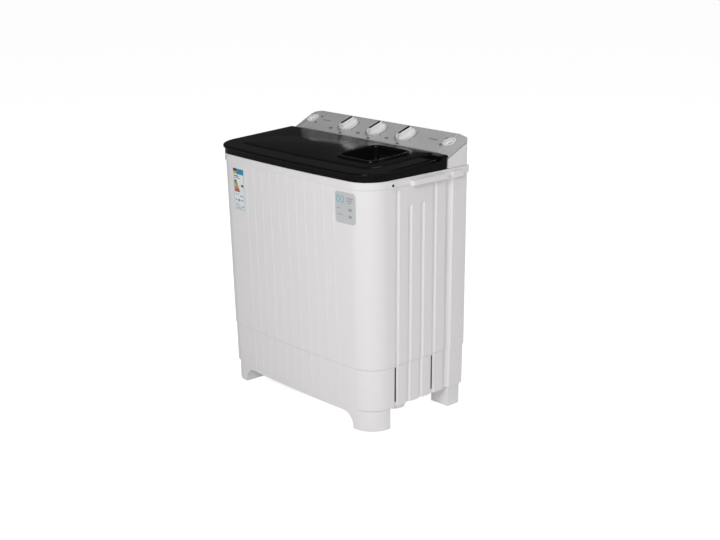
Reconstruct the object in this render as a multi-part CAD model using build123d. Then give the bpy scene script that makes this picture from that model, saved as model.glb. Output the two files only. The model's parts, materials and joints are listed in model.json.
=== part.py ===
"""Semi-automatic twin-tub washing machine, top loading.

Millimetres, +Z up. The origin is on the floor under the middle of the whole machine:
+X is the machine's right-hand side seen from the front, and -Y is the front.
"""
from build123d import *
import math
import os

os.makedirs("parts", exist_ok=True)

# ---------------------------------------------------------------- casing
WIDTH = 660.0            # across the rim
HALF = WIDTH / 2
FRONT = -194.0           # rim at the middle of the bowed front
BACK = 198.0             # rear face of the rim and console
BOW = 12.0               # how far the front bulges at its middle
CORNER_R = 75.0          # big front corners
BACK_R = 5.0             # small rear corners
WALL = 3.0               # moulded wall
FIT = 0.4                # gap between casings that slide into each other
SEAT_GAP = 0.3           # gap between pieces that rest on each other
SEAM_Z = 186.0           # joint between base and cabinet
RIM_Z = 687.0            # lower edge of the rim band
RIM_H = 20.5             # height of the rim band
RIM_TOP = RIM_Z + RIM_H
DECK_DROP = 7.5          # deck lies this far under the rim's upper edge
DECK_Z = RIM_TOP - DECK_DROP
CABINET_INSET = 3.4      # cabinet stands back from the rim band
FRONT_DRAFT = 11.0       # cabinet front leans in by this at the seam
SIDE_DRAFT = 2.0         # cabinet sides lean in by this at the seam
FLUTE_COUNT = 11         # upright grooves in the front
FLUTE_LEFT = 149.0       # first groove's distance from the left-hand side
FLUTE_PITCH = 37.8
FLUTE_WIDTH = 3.2
FLUTE_DEPTH = 1.1
# side channels: y, radius, how far the cutter's axis stands outside the wall, top height
CHANNELS = (
    (FRONT + 121.0, 8.0, 1.5, RIM_Z - 17.0),
    (FRONT + 168.0, 8.0, 1.5, RIM_Z - 61.0),
    (FRONT + 215.0, 8.0, 1.5, RIM_Z - 62.0),
    (FRONT + 262.0, 8.0, 1.5, RIM_Z - 17.0),
    (BACK - 74.5, 17.0, 8.0, RIM_Z - 19.0),
)
SLIT_CHANNELS = (0, 3)   # base channels with a long vent slit
SLIT_WIDTH = 5.0
TAB_Y = FRONT + 100.0    # screw tab that hangs from the rim on each side
TAB_R = 11.0
TAB_HOLE_R = 4.2
HANDLE_FRONT = FRONT + 162.0
HANDLE_LENGTH = 134.0
HANDLE_OUT = 13.0        # how far the handle stands out
HANDLE_TOP = RIM_Z + 12.5
HANDLE_H = 15.0
HANDLE_LIP = 4.0         # thickness of the grip's outer wall
HOOK_BACK = BACK - 30.0
HOOK_LENGTH = 44.0
HOOK_OUT = 9.0

# ---------------------------------------------------------------- base
BASE_INSET = 5.4         # base stands back from the rim band
BASE_DRAFT = 1.5
STEP_Z = 65.0            # lower step of the base
PLINTH_INSET = 5.4       # plinth stands back from the base
ARCH_Z = 47.0            # underside of the plinth between the feet
FRONT_FOOT = 87.0        # width of the front feet
FRONT_FOOT_DEPTH = 104.0
REAR_FOOT = 80.0
REAR_FOOT_DEPTH = 60.0
ARCH_HALF = HALF - FRONT_FOOT
REAR_FOOT_HALF = HALF - REAR_FOOT
SIDE_ARCH_FRONT = FRONT + FRONT_FOOT_DEPTH
SIDE_ARCH_BACK = BACK - REAR_FOOT_DEPTH
ARCH_R = 40.0
FLOOR_Z = 70.0           # inner floor of the base
FLOOR_TOP = FLOOR_Z + WALL
FOOT_Z = 2.0             # underside of the feet; the pads fill the rest
PAD_R = 16.0
PAD_X = HALF - 46.0
PAD_FRONT = FRONT + 66.0
PAD_BACK = BACK - 34.0
TONGUE = 16.0            # base tongue inside the cabinet
TONGUE_WALL = 2.2
BOSS_R = 30.0            # round boss under the right-hand side

# ---------------------------------------------------------------- lids
LID_ANGLE = 3.05
LID_SLOPE = math.tan(math.radians(LID_ANGLE))
LID_HEIGHT = 33.8        # margin above the rim at y = 0
LID_Z0 = RIM_TOP + LID_HEIGHT
LID_LIP = 4.0            # lip overhang past the rim
LID_SKIN = 3.0
LIP_DEPTH = 8.0
LIP_BEVEL = 2.6          # bevel of the lip's upper and lower edges
SKIRT_Z = RIM_TOP + SEAT_GAP
SKIRT_INSET = 0.6
SKIRT_WALL = 2.6
SEAM_X = 6.0             # joint between the two lids
SEAM_GAP = 2.0
PANEL_RISE = 3.0         # raised panel
PANEL_SIDE = 44.0
PANEL_HALF = HALF - PANEL_SIDE
PANEL_FRONT = FRONT + 52.0
PANEL_BOW = 8.0
PANEL_R = 45.0

# ---------------------------------------------------------------- console
PANEL_ANGLE = 26.0
PANEL_SLOPE = math.tan(math.radians(PANEL_ANGLE))
PANEL_COS = math.cos(math.radians(PANEL_ANGLE))
CONSOLE_DEPTH = 85.2
FASCIA_FRONT = BACK - CONSOLE_DEPTH
FASCIA_Z = LID_Z0 + 6.7  # fascia height at its front edge
FASCIA_BACK = BACK - 1.5
FASCIA_T = 3.2
FOLD = 38.0              # fascia ends fall away inside this distance from the sides
FOLD_X = HALF - FOLD
END_DROP = 8.0
END_GAP = 3.0            # dark gap under the fascia's ends
CONSOLE_FRONT = FASCIA_FRONT + 1.8
CONSOLE_Z = RIM_TOP + 1.0
CONSOLE_WALL = 2.6
CONSOLE_INSET = 1.2      # console's cheeks stand back from the rim
CONSOLE_R = 16.0
POST_SIDE = 10.0         # outer hinge posts' distance from the casing's sides
POST_W = 18.0
KNOB_PITCH = 122.0
KNOB_X = (-KNOB_PITCH, 0.0, KNOB_PITCH)
KNOB_Y = BACK - 41.0
KNOB_R = 30.0
KNOB_BASE = 5.0          # height of the round base
KNOB_H = 17.5
GRIP_W = 13.0            # width of the grip's crest
GRIP_FOOT = 21.0
KNOB_GAP = 0.6           # knob's clearance over the fascia
KNOB_TURN = 76.0         # grips point a little to the right of the slope
INSERT_L = 42.0
INSERT_W = 9.0
INSERT_T = 1.3
SHAFT_R = 3.0
INLET_Y = BACK - 39.0
INLET_R = 17.5
INLET_BORE = 9.0
INLET_DEPTH = 6.0        # how far the cup's floor lies under the panel
DUCT_W = 9.5             # half width of the slots for the fill ducts
DUCT_CLEAR = 2.5         # gap between a fill duct's slot and the outer hinge post
DUCT_Z = CONSOLE_Z + CONSOLE_WALL + 0.4
INLET_X = HALF - POST_SIDE - POST_W - DUCT_CLEAR - DUCT_W

# ---------------------------------------------------------------- lid hinges and details
LID_BACK = FASCIA_FRONT - 5.3
PANEL_BACK = LID_BACK - 12.5
HINGE_Y = LID_BACK - 8.0
HINGE_Z = LID_Z0 - 2.3
PIN_R = 2.0
PIN_CLEAR = 0.1
BARREL = 22.0            # length of the lids' hinge barrels
BARREL_R = 5.0
POST_R = 3.8             # rounded top of the hinge posts
POST_DEPTH = 9.0
POST_GAP = 1.2
LEFT_POST = (POST_SIDE - HALF, POST_SIDE + POST_W - HALF)
CENTRE_POST = (SEAM_X - POST_W / 2, SEAM_X + POST_W / 2)
RIGHT_POST = (HALF - POST_SIDE - POST_W, HALF - POST_SIDE)
NOTCH_X = HALF - 38.0    # finger dip at the right-hand lid's outer edge
NOTCH_FRONT = LID_BACK - 65.0
NOTCH_BACK = LID_BACK - 24.5
NOTCH_DEPTH = 8.0
POCKET_W = 138.0
POCKET_D = 142.0
POCKET_R = 24.0
POCKET_DEPTH = 57.3      # floor under the margin at y = 0
POCKET_FLOOR = LID_Z0 - POCKET_DEPTH
POCKET_DRAFT = 7.0
POCKET_RIM = 10.0
POCKET_RIM_RISE = 5.0

# ---------------------------------------------------------------- tubs
WASH_SIDE = 168.0        # tub axis to the casing's left-hand side
WASH_X = WASH_SIDE - HALF
WASH_Y = FRONT + 161.0
WASH_W = 300.0
WASH_D = 274.0
WASH_R = 70.0
WASH_TAPER = 16.0
TUB_WALL = 2.5
TUB_FLANGE = 6.0
FLANGE_T = 2.2
TUB_BEVEL = 10.0
WASH_FLOOR = 360.0
WELL_R = 118.0
WELL_DEPTH = 12.0
PULSATOR_R = 110.0
SPIN_SIDE = 159.0        # basket axis to the casing's right-hand side
SPIN_X = HALF - SPIN_SIDE
SPIN_Y = FRONT + 164.0
POCKET_X = SPIN_X + 0.5
POCKET_Y = SPIN_Y + 14.5
CASING_R = 132.0
CASING_FLOOR = 250.0
CASING_DRAIN = (-84.0, 50.0)
BASKET_R = 112.0
BASKET_TOP = DECK_Z - 50.0
BASKET_FLOOR = 290.0
BASKET_WALL = 2.0
BASKET_ROWS = 3
BASKET_HOLES = 8
BASKET_HOLE_R = 5.0
SPIN_NOSE = SPIN_Y + 52.0    # where each fill duct ends over its tub
WASH_NOSE = WASH_Y + 109.0

# ---------------------------------------------------------------- drive
SPINDLE_R = 8.0
RUNNING = 0.1            # running fit of shafts and pins
WASH_PULLEY_R = 84.0
MOTOR_PULLEY_R = 24.0
PULLEY_Z = 236.0
PULLEY_H = 16.0
GROOVE = 6.0
MOTOR_X = WASH_X + 96.0
MOTOR_Y = WASH_Y - 81.0
MOTOR_R = 56.0
BRACKET_Z = 339.0        # top of the plate that carries the wash motor
BRACKET_T = 3.0
BRACKET_HOLES = ((-84, -66), (-84, 66), (84, 66), (84, -104))
SPIN_MOTOR_R = 62.0
SPIN_MOTOR_Z = (96.0, 196.0)
BRAKE_R = 44.0           # brake drum under the spin tub
BRAKE_Z = (204.0, 232.0)
LEVER_Y = SPIN_Y + 76.0  # brake lever's pivot
LEVER_Z = 200.0
LEVER_R = 5.0
PAD_GAP = 4.2            # brake pad's distance from the drum while the lid is shut
ROD_X = SPIN_X - 127.0   # brake rod
ROD_Y = SPIN_Y + 114.0
ROD_R = 3.0
ROD_TOP = DECK_Z + 15.0
EARS = (-63.0, 43.0)     # lever's ears, either side of the spin motor's axis
SPRING_RING = 92.0       # suspension springs of the spin motor
SPRING_TURN = 90.0
SPRING_TOP = 140.0
SPRING_WIRE = 1.6
SPRING_R = 11.0
SPRING_TURNS = 4
CUP_R = 17.0

# ---------------------------------------------------------------- water
FILTER_X = WASH_X + 130.0
FILTER_LOW = DECK_Z - 226.0
FILTER_HIGH = DECK_Z - 50.0
DRAIN_X = WASH_X + 100.0
DRAIN_Y = WASH_Y + 99.0
OVERFLOW_X = WASH_X + 82.0
OVERFLOW_Z = DECK_Z - 58.0
VALVE_X = SPIN_X - 161.0
VALVE_Y = BACK - 60.0
VALVE_R = 22.0
PLUG_R = 12.5
PORT_DX = (-90.0, -52.0, 52.0)   # valve ports: overflow, wash tub, spin tub
PORT_Z = 190.0
PIPE_R = 11.0
SPOUT_Z = 112.0
SPOUT_R = 12.5
SPOUT_END = BACK - 2.0
SPOUT_LENGTH = 30.0      # what the drain hose pushes over, up to the collar
GLAND_X = HALF - 80.0
GLAND_Z = 130.0
GLAND_R = 6.9

# ---------------------------------------------------------------- rear cover
COVER_SIDE = 22.0        # cover's edge from the casing's sides
COVER_LOW = SEAM_Z + 12.0
COVER_HIGH = RIM_Z - 6.0
COVER_LAP = 15.0         # how far the cover laps over the cabinet's window
COVER_T = 2.4
COVER_SCREWS = [(i * (HALF - 32), z) for i in (-1, 0, 1) for z in (SEAM_Z + 19, RIM_Z - 14)]


def save(name, shape):
    """Write one node."""
    export_step(shape, f"parts/{name}.step")


def block(x0, x1, y0, y1, z0, z1):
    """Axis-aligned box between two corners."""
    return Pos((x0 + x1) / 2, (y0 + y1) / 2, (z0 + z1) / 2) * Box(x1 - x0, y1 - y0, z1 - z0)


def rod(x, y, z0, z1, radius):
    """Upright cylinder."""
    return Pos(x, y, (z0 + z1) / 2) * Cylinder(radius, z1 - z0)


def tube(x, y, z0, z1, outer, inner):
    """Upright tube."""
    return rod(x, y, z0, z1, outer) - rod(x, y, z0 - 1, z1 + 1, inner)


def cross_rod(x0, x1, y, z, radius):
    """Cylinder along X."""
    return Pos((x0 + x1) / 2, y, z) * Rot(0, 90, 0) * Cylinder(radius, x1 - x0)


def along_y(x, y0, y1, z, radius):
    """Cylinder along Y."""
    return Pos(x, (y0 + y1) / 2, z) * Rot(90, 0, 0) * Cylinder(radius, y1 - y0)


def mirrored(shape):
    """The same shape on the other side of the machine."""
    return mirror(shape, about=Plane.YZ)


def plan(inset, z, front_in=0.0, side_in=0.0):
    """Plan outline of the casing at one height: bowed front, big front corners."""
    half = WIDTH / 2 - inset - side_in
    front = FRONT + inset + front_in
    back = BACK - inset
    face = Face(Wire([
        ThreePointArc((-half, front + BOW), (0, front), (half, front + BOW)),
        Line((half, front + BOW), (half, back)),
        Line((half, back), (-half, back)),
        Line((-half, back), (-half, front + BOW)),
    ]))
    corners = face.vertices()
    face = face.fillet_2d(CORNER_R - inset, [v for v in corners if v.Y < 0])
    corners = face.vertices()
    face = face.fillet_2d(BACK_R, [v for v in corners if v.Y > back - 0.01])
    return Pos(0, 0, z) * face


def prism(inset, z0, z1, front_in=0.0, side_in=0.0):
    """Upright prism of the plan outline."""
    return extrude(plan(inset, z0, front_in, side_in), z1 - z0, dir=(0, 0, 1))


def skin(inset_top, z_top, inset_low, z_low, extra=0.0):
    """Drafted body between two plan outlines."""
    share = (RIM_Z - z_low) / (RIM_Z - SEAM_Z)
    top_share = (RIM_Z - z_top) / (RIM_Z - SEAM_Z)
    low = plan(inset_low, z_low, FRONT_DRAFT * share + extra, SIDE_DRAFT * share)
    top = plan(inset_top, z_top, FRONT_DRAFT * top_share, SIDE_DRAFT * top_share)
    return loft([low, top], ruled=True)


def front_y(x, inset, front_in):
    """Front surface at a distance from the middle."""
    half = WIDTH / 2 - inset
    radius = (half * half + BOW * BOW) / (2 * BOW)
    return FRONT + inset + front_in + radius - math.sqrt(radius * radius - x * x)


def flute(x, z0, in0, z1, in1):
    """Shallow upright V groove in the front between two heights."""
    def wedge(z, inset):
        y = front_y(x, CABINET_INSET, inset)
        corners = [
            (x - FLUTE_WIDTH / 2, y - 0.6),
            (x + FLUTE_WIDTH / 2, y - 0.6),
            (x, y + FLUTE_DEPTH),
        ]
        return Pos(0, 0, z) * make_face(Polyline(*corners, close=True))
    return loft([wedge(z0, in0), wedge(z1, in1)], ruled=True)


def channel(wall_x, y, radius, out, z0, z1, round_top):
    """Upright round-bottomed channel cutter on the right-hand side."""
    cutter = rod(wall_x + out, y, z0, z1, radius)
    if round_top:
        cutter += Pos(wall_x + out, y, z1) * Sphere(radius)
    return cutter


# ---------------------------------------------------------------- upper cabinet
def upper_cabinet():
    top = DECK_Z - WALL - SEAT_GAP
    outer = skin(CABINET_INSET, top, CABINET_INSET, SEAM_Z)
    inner = skin(CABINET_INSET + WALL, top + 1, CABINET_INSET + WALL, SEAM_Z - 1)
    share = (RIM_Z - top) / (RIM_Z - SEAM_Z) * FRONT_DRAFT
    wall_x = HALF - CABINET_INSET
    backing = Part()
    for y, radius, out, z_top in CHANNELS:
        around = channel(wall_x, y, radius + WALL, out, SEAM_Z, z_top, True)
        backing += around & outer
    shell = outer - inner
    shell += backing + mirrored(backing)
    for y, radius, out, z_top in CHANNELS:
        cutter = channel(wall_x, y, radius, out, SEAM_Z - 20, z_top, True)
        shell -= cutter
        shell -= mirrored(cutter)
    for i in range(FLUTE_COUNT):
        x = FLUTE_LEFT - HALF + i * FLUTE_PITCH
        shell -= flute(x, SEAM_Z - 2, FRONT_DRAFT + 0.05, RIM_Z + 3, share)
    back = BACK - CABINET_INSET
    window = HALF - COVER_SIDE - COVER_LAP
    shell -= block(-window, window, back - 12, back + 5, COVER_LOW + COVER_LAP, COVER_HIGH - COVER_LAP)
    return shell


# ---------------------------------------------------------------- lower base
def lower_base():
    draft = FRONT_DRAFT
    low_in = draft + BASE_DRAFT
    low = plan(BASE_INSET, STEP_Z, low_in, SIDE_DRAFT + BASE_DRAFT)
    top = plan(BASE_INSET, SEAM_Z, draft, SIDE_DRAFT)
    low_i = plan(BASE_INSET + WALL, STEP_Z - 1, low_in, SIDE_DRAFT + BASE_DRAFT)
    top_i = plan(BASE_INSET + WALL, SEAM_Z + 1, draft, SIDE_DRAFT)
    outer = loft([low, top], ruled=True)
    body = outer - loft([low_i, top_i], ruled=True)
    wall_x = HALF - BASE_INSET - SIDE_DRAFT
    backing = Part()
    for y, radius, out, z_top in CHANNELS:
        backing += channel(wall_x, y, radius + WALL, out, STEP_Z, SEAM_Z, False) & outer
    body += backing + mirrored(backing)
    # tongue that locates the cabinet
    tongue_in = CABINET_INSET + WALL + FIT
    tongue = prism(tongue_in, SEAM_Z - 8, SEAM_Z + TONGUE, draft, SIDE_DRAFT)
    tongue -= prism(tongue_in + TONGUE_WALL, SEAM_Z - 9, SEAM_Z + TONGUE + 1, draft, SIDE_DRAFT)
    for y, radius, out, z_top in CHANNELS:
        clear_r = radius + WALL + FIT + 1
        room = channel(HALF - CABINET_INSET, y, clear_r, out, SEAM_Z - 36, SEAM_Z + 64, False)
        tongue -= room
        tongue -= mirrored(room)
    body += tongue
    # plinth and feet under the step
    foot_in = BASE_INSET + PLINTH_INSET
    solid = prism(foot_in, FOOT_Z, STEP_Z + WALL, low_in, SIDE_DRAFT + BASE_DRAFT)
    hollow = prism(foot_in + WALL, FOOT_Z + WALL, STEP_Z + 20, low_in, SIDE_DRAFT + BASE_DRAFT)
    step_ring = prism(BASE_INSET, STEP_Z, STEP_Z + WALL, low_in, SIDE_DRAFT + BASE_DRAFT)
    step_ring -= prism(foot_in + WALL, 0, STEP_Z + 20, low_in, SIDE_DRAFT + BASE_DRAFT)
    corners = Part()
    big = WIDTH
    corners += block(ARCH_HALF, big, -big, SIDE_ARCH_FRONT, 0, STEP_Z + WALL)
    corners += block(REAR_FOOT_HALF, big, SIDE_ARCH_BACK, big, 0, STEP_Z + WALL)
    corners += mirrored(corners)
    inset = Part()
    inset += block(ARCH_HALF + WALL, big, -big, SIDE_ARCH_FRONT - WALL, -5, STEP_Z + 30)
    inset += block(REAR_FOOT_HALF + WALL, big, SIDE_ARCH_BACK + WALL, big, -5, STEP_Z + 30)
    inset += mirrored(inset)
    feet = (solid & corners) - (hollow & inset)
    skirt = solid - hollow
    skirt &= block(-big, big, -big, SIDE_ARCH_FRONT, ARCH_Z, STEP_Z + WALL)
    skirt -= block(-big, big, SIDE_ARCH_FRONT - 10, big, -5, STEP_Z + 30)
    haunch = block(ARCH_HALF - ARCH_R, ARCH_HALF, -big, big, 0, ARCH_Z)
    haunch -= Pos(ARCH_HALF - ARCH_R, 0, ARCH_Z - ARCH_R) * Rot(90, 0, 0) * Cylinder(ARCH_R, 3 * big)
    haunch &= block(ARCH_HALF - ARCH_R, ARCH_HALF, -big, big, ARCH_Z - ARCH_R, ARCH_Z)
    haunch &= solid - prism(foot_in + WALL, 0, STEP_Z + 20, low_in, SIDE_DRAFT + BASE_DRAFT)
    haunch &= block(-big, big, -big, SIDE_ARCH_FRONT, 0, big)
    rear_skirt = solid - hollow
    rear_skirt &= block(-REAR_FOOT_HALF, REAR_FOOT_HALF, BACK - 40, big, ARCH_Z, STEP_Z + WALL)
    body += step_ring + feet + skirt + haunch + mirrored(haunch) + rear_skirt
    # inner floor with a window under each motor
    floor = prism(BASE_INSET + WALL - 0.5, FLOOR_Z, FLOOR_Z + WALL, low_in, SIDE_DRAFT + BASE_DRAFT)
    floor -= block(WASH_X - 128, WASH_X + 132, WASH_Y - 87, WASH_Y + 163, FLOOR_Z - 1, FLOOR_TOP + 1)
    floor -= rod(SPIN_X, SPIN_Y, FLOOR_Z - 1, FLOOR_TOP + 1, 30)
    body += floor
    # round boss under the right-hand side
    boss_y = FRONT + 148
    body += rod(PAD_X, boss_y, FLOOR_Z - 18, FLOOR_Z + 1, BOSS_R)
    body -= rod(PAD_X, boss_y, FLOOR_Z - 15, FLOOR_Z + 10, BOSS_R - WALL)
    for y, radius, out, z_top in CHANNELS:
        cutter = channel(wall_x, y, radius, out, STEP_Z - 5, SEAM_Z + 0.01, False)
        body -= cutter
        body -= mirrored(cutter)
    for i in SLIT_CHANNELS:
        y = CHANNELS[i][0]
        slit = block(wall_x - 18, wall_x + 5, y - 6.0, y - 6.0 + SLIT_WIDTH, STEP_Z + 12, SEAM_Z - 8)
        body -= slit
        body -= mirrored(slit)
    for i in range(FLUTE_COUNT):
        x = FLUTE_LEFT - HALF + i * FLUTE_PITCH
        shift = BASE_INSET - CABINET_INSET
        body -= flute(x, STEP_Z - 1, low_in + shift, SEAM_Z + 0.01, draft + shift)
    body -= along_y(GLAND_X, BACK - 30, BACK + 30, GLAND_Z, GLAND_R + SEAT_GAP)
    # rear opening for the drain spout
    body -= block(VALVE_X - 34, VALVE_X + 34, BACK - 40, BACK + 5, SPOUT_Z - 28, SPOUT_Z + 38)
    return body


def foot_pads():
    pads = []
    for sx in (-1, 1):
        pads.append(rod(sx * PAD_X, PAD_FRONT, 0, FOOT_Z, PAD_R))
        pads.append(rod(sx * PAD_X, PAD_BACK, 0, FOOT_Z, PAD_R))
    return Compound(pads)


# ---------------------------------------------------------------- top frame
def top_frame():
    band = prism(0, RIM_Z, RIM_TOP) - prism(WALL, RIM_Z - 1, RIM_TOP + 1)
    outer_top = band.faces().sort_by(Axis.Z)[-1]
    outer_edges = [e for e in outer_top.outer_wire().edges()]
    band = chamfer(outer_edges, 0.8)
    deck = prism(WALL - 0.5, DECK_Z - WALL, DECK_Z)
    frame = band + deck
    grow = TUB_WALL + 0.5
    mouth = RectangleRounded(WASH_W + 2 * grow, WASH_D + 2 * grow, WASH_R + grow)
    frame -= extrude(Pos(WASH_X, WASH_Y, DECK_Z - 10) * mouth, 30)
    frame -= rod(SPIN_X, SPIN_Y, DECK_Z - 10, DECK_Z + 10, CASING_R + TUB_WALL + 0.5)
    # screw tabs that hang from the band on both sides
    tab = block(HALF - WALL, HALF + 1.2, TAB_Y - TAB_R, TAB_Y + TAB_R, RIM_Z + 6, RIM_Z + 16)
    tab += cross_rod(HALF - WALL, HALF + 1.2, TAB_Y, RIM_Z + 6, TAB_R)
    frame += tab + mirrored(tab)
    hole = cross_rod(HALF - 10, HALF + 10, TAB_Y, RIM_Z + 6, TAB_HOLE_R)
    frame -= hole
    frame -= mirrored(hole)
    # way through for the drain lift rod and the brake rod
    frame -= rod(VALVE_X, VALVE_Y, DECK_Z - 10, DECK_Z + 10, ROD_R + 1)
    frame -= rod(ROD_X, ROD_Y, DECK_Z - 10, DECK_Z + 10, ROD_R + 1)
    return frame


def carry_handles():
    """Long moulded grip under the rim on each side, hollow behind for the fingers."""
    x0 = HALF + SEAT_GAP
    x1 = x0 + HANDLE_OUT
    low = HANDLE_TOP - HANDLE_H
    profile = make_face(Polyline(
        (x0, low), (x1 - 1.5, low), (x1, low + 2), (x1, HANDLE_TOP - 4.5), (x1 - 4, HANDLE_TOP - 0.6),
        (x0 + 3, HANDLE_TOP), (x0, HANDLE_TOP - 1), close=True))
    back = HANDLE_FRONT + HANDLE_LENGTH
    grip = Pos(0, HANDLE_FRONT, 0) * extrude(Plane.XZ * profile, -HANDLE_LENGTH)
    nose = Face(Wire(Polyline(
        (x0, HANDLE_FRONT), (x1, HANDLE_FRONT), (x1, back), (x0, back), close=True).edges()))
    nose = nose.fillet_2d(HANDLE_OUT * 0.7, [nose.vertices().sort_by(Axis.X)[-2:].sort_by(Axis.Y)[0]])
    grip &= Pos(0, 0, low - 1) * extrude(nose, HANDLE_H + 2, dir=(0, 0, 1))
    grip -= block(x0 - 1, x1 - HANDLE_LIP, HANDLE_FRONT + 10, back + 1, low - 1, HANDLE_TOP - HANDLE_LIP)
    return Compound([grip, mirrored(grip)])


def hose_hooks():
    """Short open hook behind each handle that a hose clips under."""
    x0 = HALF + SEAT_GAP
    y0 = HOOK_BACK - HOOK_LENGTH
    low = RIM_Z - 5
    hook = block(x0, x0 + HOOK_OUT, y0, HOOK_BACK, low, RIM_Z + 11)
    hook = fillet(hook.edges().filter_by(Axis.X), 5)
    hook = chamfer(hook.edges().filter_by(Axis.Y).sort_by(Axis.X)[-2:], 2)
    hook -= block(x0 - 1, x0 + HOOK_OUT - 3.5, y0 + 7, HOOK_BACK + 5, low - 2, RIM_Z + 6)
    return Compound([hook, mirrored(hook)])


def rear_cover():
    """Large rear panel with shallow ribs and two groups of vent slots."""
    y0 = BACK - CABINET_INSET + SEAT_GAP
    edge = HALF - COVER_SIDE
    cover = block(-edge, edge, y0, y0 + COVER_T, COVER_LOW, COVER_HIGH)
    cover = fillet(cover.edges().filter_by(Axis.Y), 12)
    for i in range(-3, 4):
        x = i * edge / 4
        cover -= block(x - 9, x + 9, y0 - 1, y0 + 1, COVER_LOW + 48, COVER_HIGH - 114)
    for row in range(6):
        z = COVER_HIGH - 94 + row * 11
        for x in (-edge / 2, edge / 2):
            cover -= block(x - 70, x + 70, y0 - 2, y0 + 5, z, z + 4.5)
    for x, z in COVER_SCREWS:
        cover -= along_y(x, y0 - 5, y0 + 8, z, 2.2)
    return cover


def cover_screws():
    y0 = BACK - CABINET_INSET + SEAT_GAP + COVER_T
    screws = []
    for x, z in COVER_SCREWS:
        screws.append(along_y(x, y0, y0 + 0.7, z, 4.2) + along_y(x, y0 - 2.6, y0 + 0.1, z, 2.0))
    return Compound(screws)


# ---------------------------------------------------------------- lids
def lid_top(y, rise=0.0):
    return LID_Z0 + LID_SLOPE * y + rise


def sloped_slab(below, above):
    """Slab that follows the lids' slope, between two offsets from the margin."""
    y0 = FRONT - 66
    y1 = LID_BACK
    profile = make_face(Polyline(
        (y0, lid_top(y0, below)), (y1, lid_top(y1, below)),
        (y1, lid_top(y1, above)), (y0, lid_top(y0, above)), close=True))
    return Pos(-WIDTH, 0, 0) * extrude(Plane.YZ * profile, 2 * WIDTH)


def lid_blank():
    """Both lids in one: bevelled lip, margin and skirt."""
    low = RIM_Z
    high = FASCIA_Z + 40
    slab = prism(-LID_LIP, low, high) & sloped_slab(-LIP_DEPTH, 0)
    rim_edges = [e for e in slab.edges() if e.center().Y < LID_BACK - 1
                 and abs(e.length) > 12 and not is_upright(e)]
    slab = chamfer(rim_edges, LIP_BEVEL)
    slab -= prism(LID_LIP, low, high) & sloped_slab(-40, -LID_SKIN)
    skirt = prism(SKIRT_INSET, SKIRT_Z, high) - prism(SKIRT_INSET + SKIRT_WALL, SKIRT_Z - 1, high + 1)
    skirt &= sloped_slab(-60, -LIP_DEPTH / 2)
    return slab + skirt


def is_upright(edge):
    d = edge % 0.5
    return abs(d.Z) > 0.9


def raised_panel():
    """Low step that runs parallel to the lids' edges, with sloping sides."""
    def outline(grow, z):
        half = PANEL_HALF + grow
        front = PANEL_FRONT - grow
        back = PANEL_BACK + grow
        face = Face(Wire([
            ThreePointArc((-half, front + PANEL_BOW), (0, front), (half, front + PANEL_BOW)),
            Line((half, front + PANEL_BOW), (half, back)),
            Line((half, back), (-half, back)),
            Line((-half, back), (-half, front + PANEL_BOW)),
        ]))
        face = face.fillet_2d(PANEL_R + grow, [v for v in face.vertices() if v.Y < 0])
        return Pos(0, 0, z) * face
    body = loft([outline(1.0, -1.0), outline(-1.2, PANEL_RISE)], ruled=True)
    return Pos(0, 0, LID_Z0) * Rot(LID_ANGLE, 0, 0) * body


def hinge_barrel(x, way):
    """Barrel under a lid's rear edge that turns on the pin; it starts at x, beside a post."""
    x0 = min(x, x + way * BARREL)
    x1 = x0 + BARREL
    web = block(x0, x1, HINGE_Y - 8, HINGE_Y + 3, HINGE_Z, HINGE_Z + 12) & sloped_slab(-12, -1)
    barrel = cross_rod(x0, x1, HINGE_Y, HINGE_Z, BARREL_R) + web
    return barrel - cross_rod(x0 - 1, x1 + 1, HINGE_Y, HINGE_Z, PIN_R + PIN_CLEAR)


def lid_half(x0, x1):
    """One lid cut from the pair, its skirt trimmed where it swings past the rim."""
    lid = (lid_blank() + raised_panel()) & block(x0, x1, -HALF, LID_BACK, RIM_Z, FASCIA_Z + 40)
    heel = Plane.YZ * make_face(Polyline(
        (LID_BACK - 12, SKIRT_Z - 1), (LID_BACK + 5, SKIRT_Z - 1), (LID_BACK + 5, SKIRT_Z + 6), close=True))
    return lid - Pos(-WIDTH, 0, 0) * extrude(heel, 2 * WIDTH)


def seam_wall(x0, x1):
    """Short wall under a lid along the joint between the lids."""
    wall = block(x0, x1, FRONT + 19, HINGE_Y - 15, LID_Z0 - 20, LID_Z0 + 20)
    return wall & sloped_slab(-14, -1)


def wash_lid():
    """Left-hand lid over the wash tub."""
    edge = SEAM_X - SEAM_GAP / 2
    lid = lid_half(-WIDTH, edge) + seam_wall(edge - LID_SKIN, edge)
    lid += hinge_barrel(LEFT_POST[1] + POST_GAP, 1)
    return lid + hinge_barrel(CENTRE_POST[0] - POST_GAP, -1)


def pocket_cup(grow, floor, top):
    """Drafted cup shape of the pocket, widening upward to its mouth."""
    height = top - floor
    foot = RectangleRounded(
        POCKET_W - 2 * POCKET_DRAFT + 2 * grow, POCKET_D - 2 * POCKET_DRAFT + 2 * grow,
        POCKET_R - POCKET_DRAFT + grow)
    lean = math.degrees(math.atan(POCKET_DRAFT / height))
    return Pos(POCKET_X, POCKET_Y, floor) * extrude(foot, height, taper=-lean)


def pocket_ring():
    """Raised ring round the pocket's mouth, sloping with the lid."""
    ring = Pos(POCKET_X, POCKET_Y, 0) * extrude(RectangleRounded(
        POCKET_W + 2 * POCKET_RIM, POCKET_D + 2 * POCKET_RIM, POCKET_R + POCKET_RIM), 2 * LID_Z0)
    ring &= sloped_slab(-1, PANEL_RISE + POCKET_RIM_RISE)
    level = PANEL_RISE + POCKET_RIM_RISE / 2
    return chamfer([e for e in ring.edges() if e.center().Z > lid_top(e.center().Y, level)], 1.6)


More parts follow.
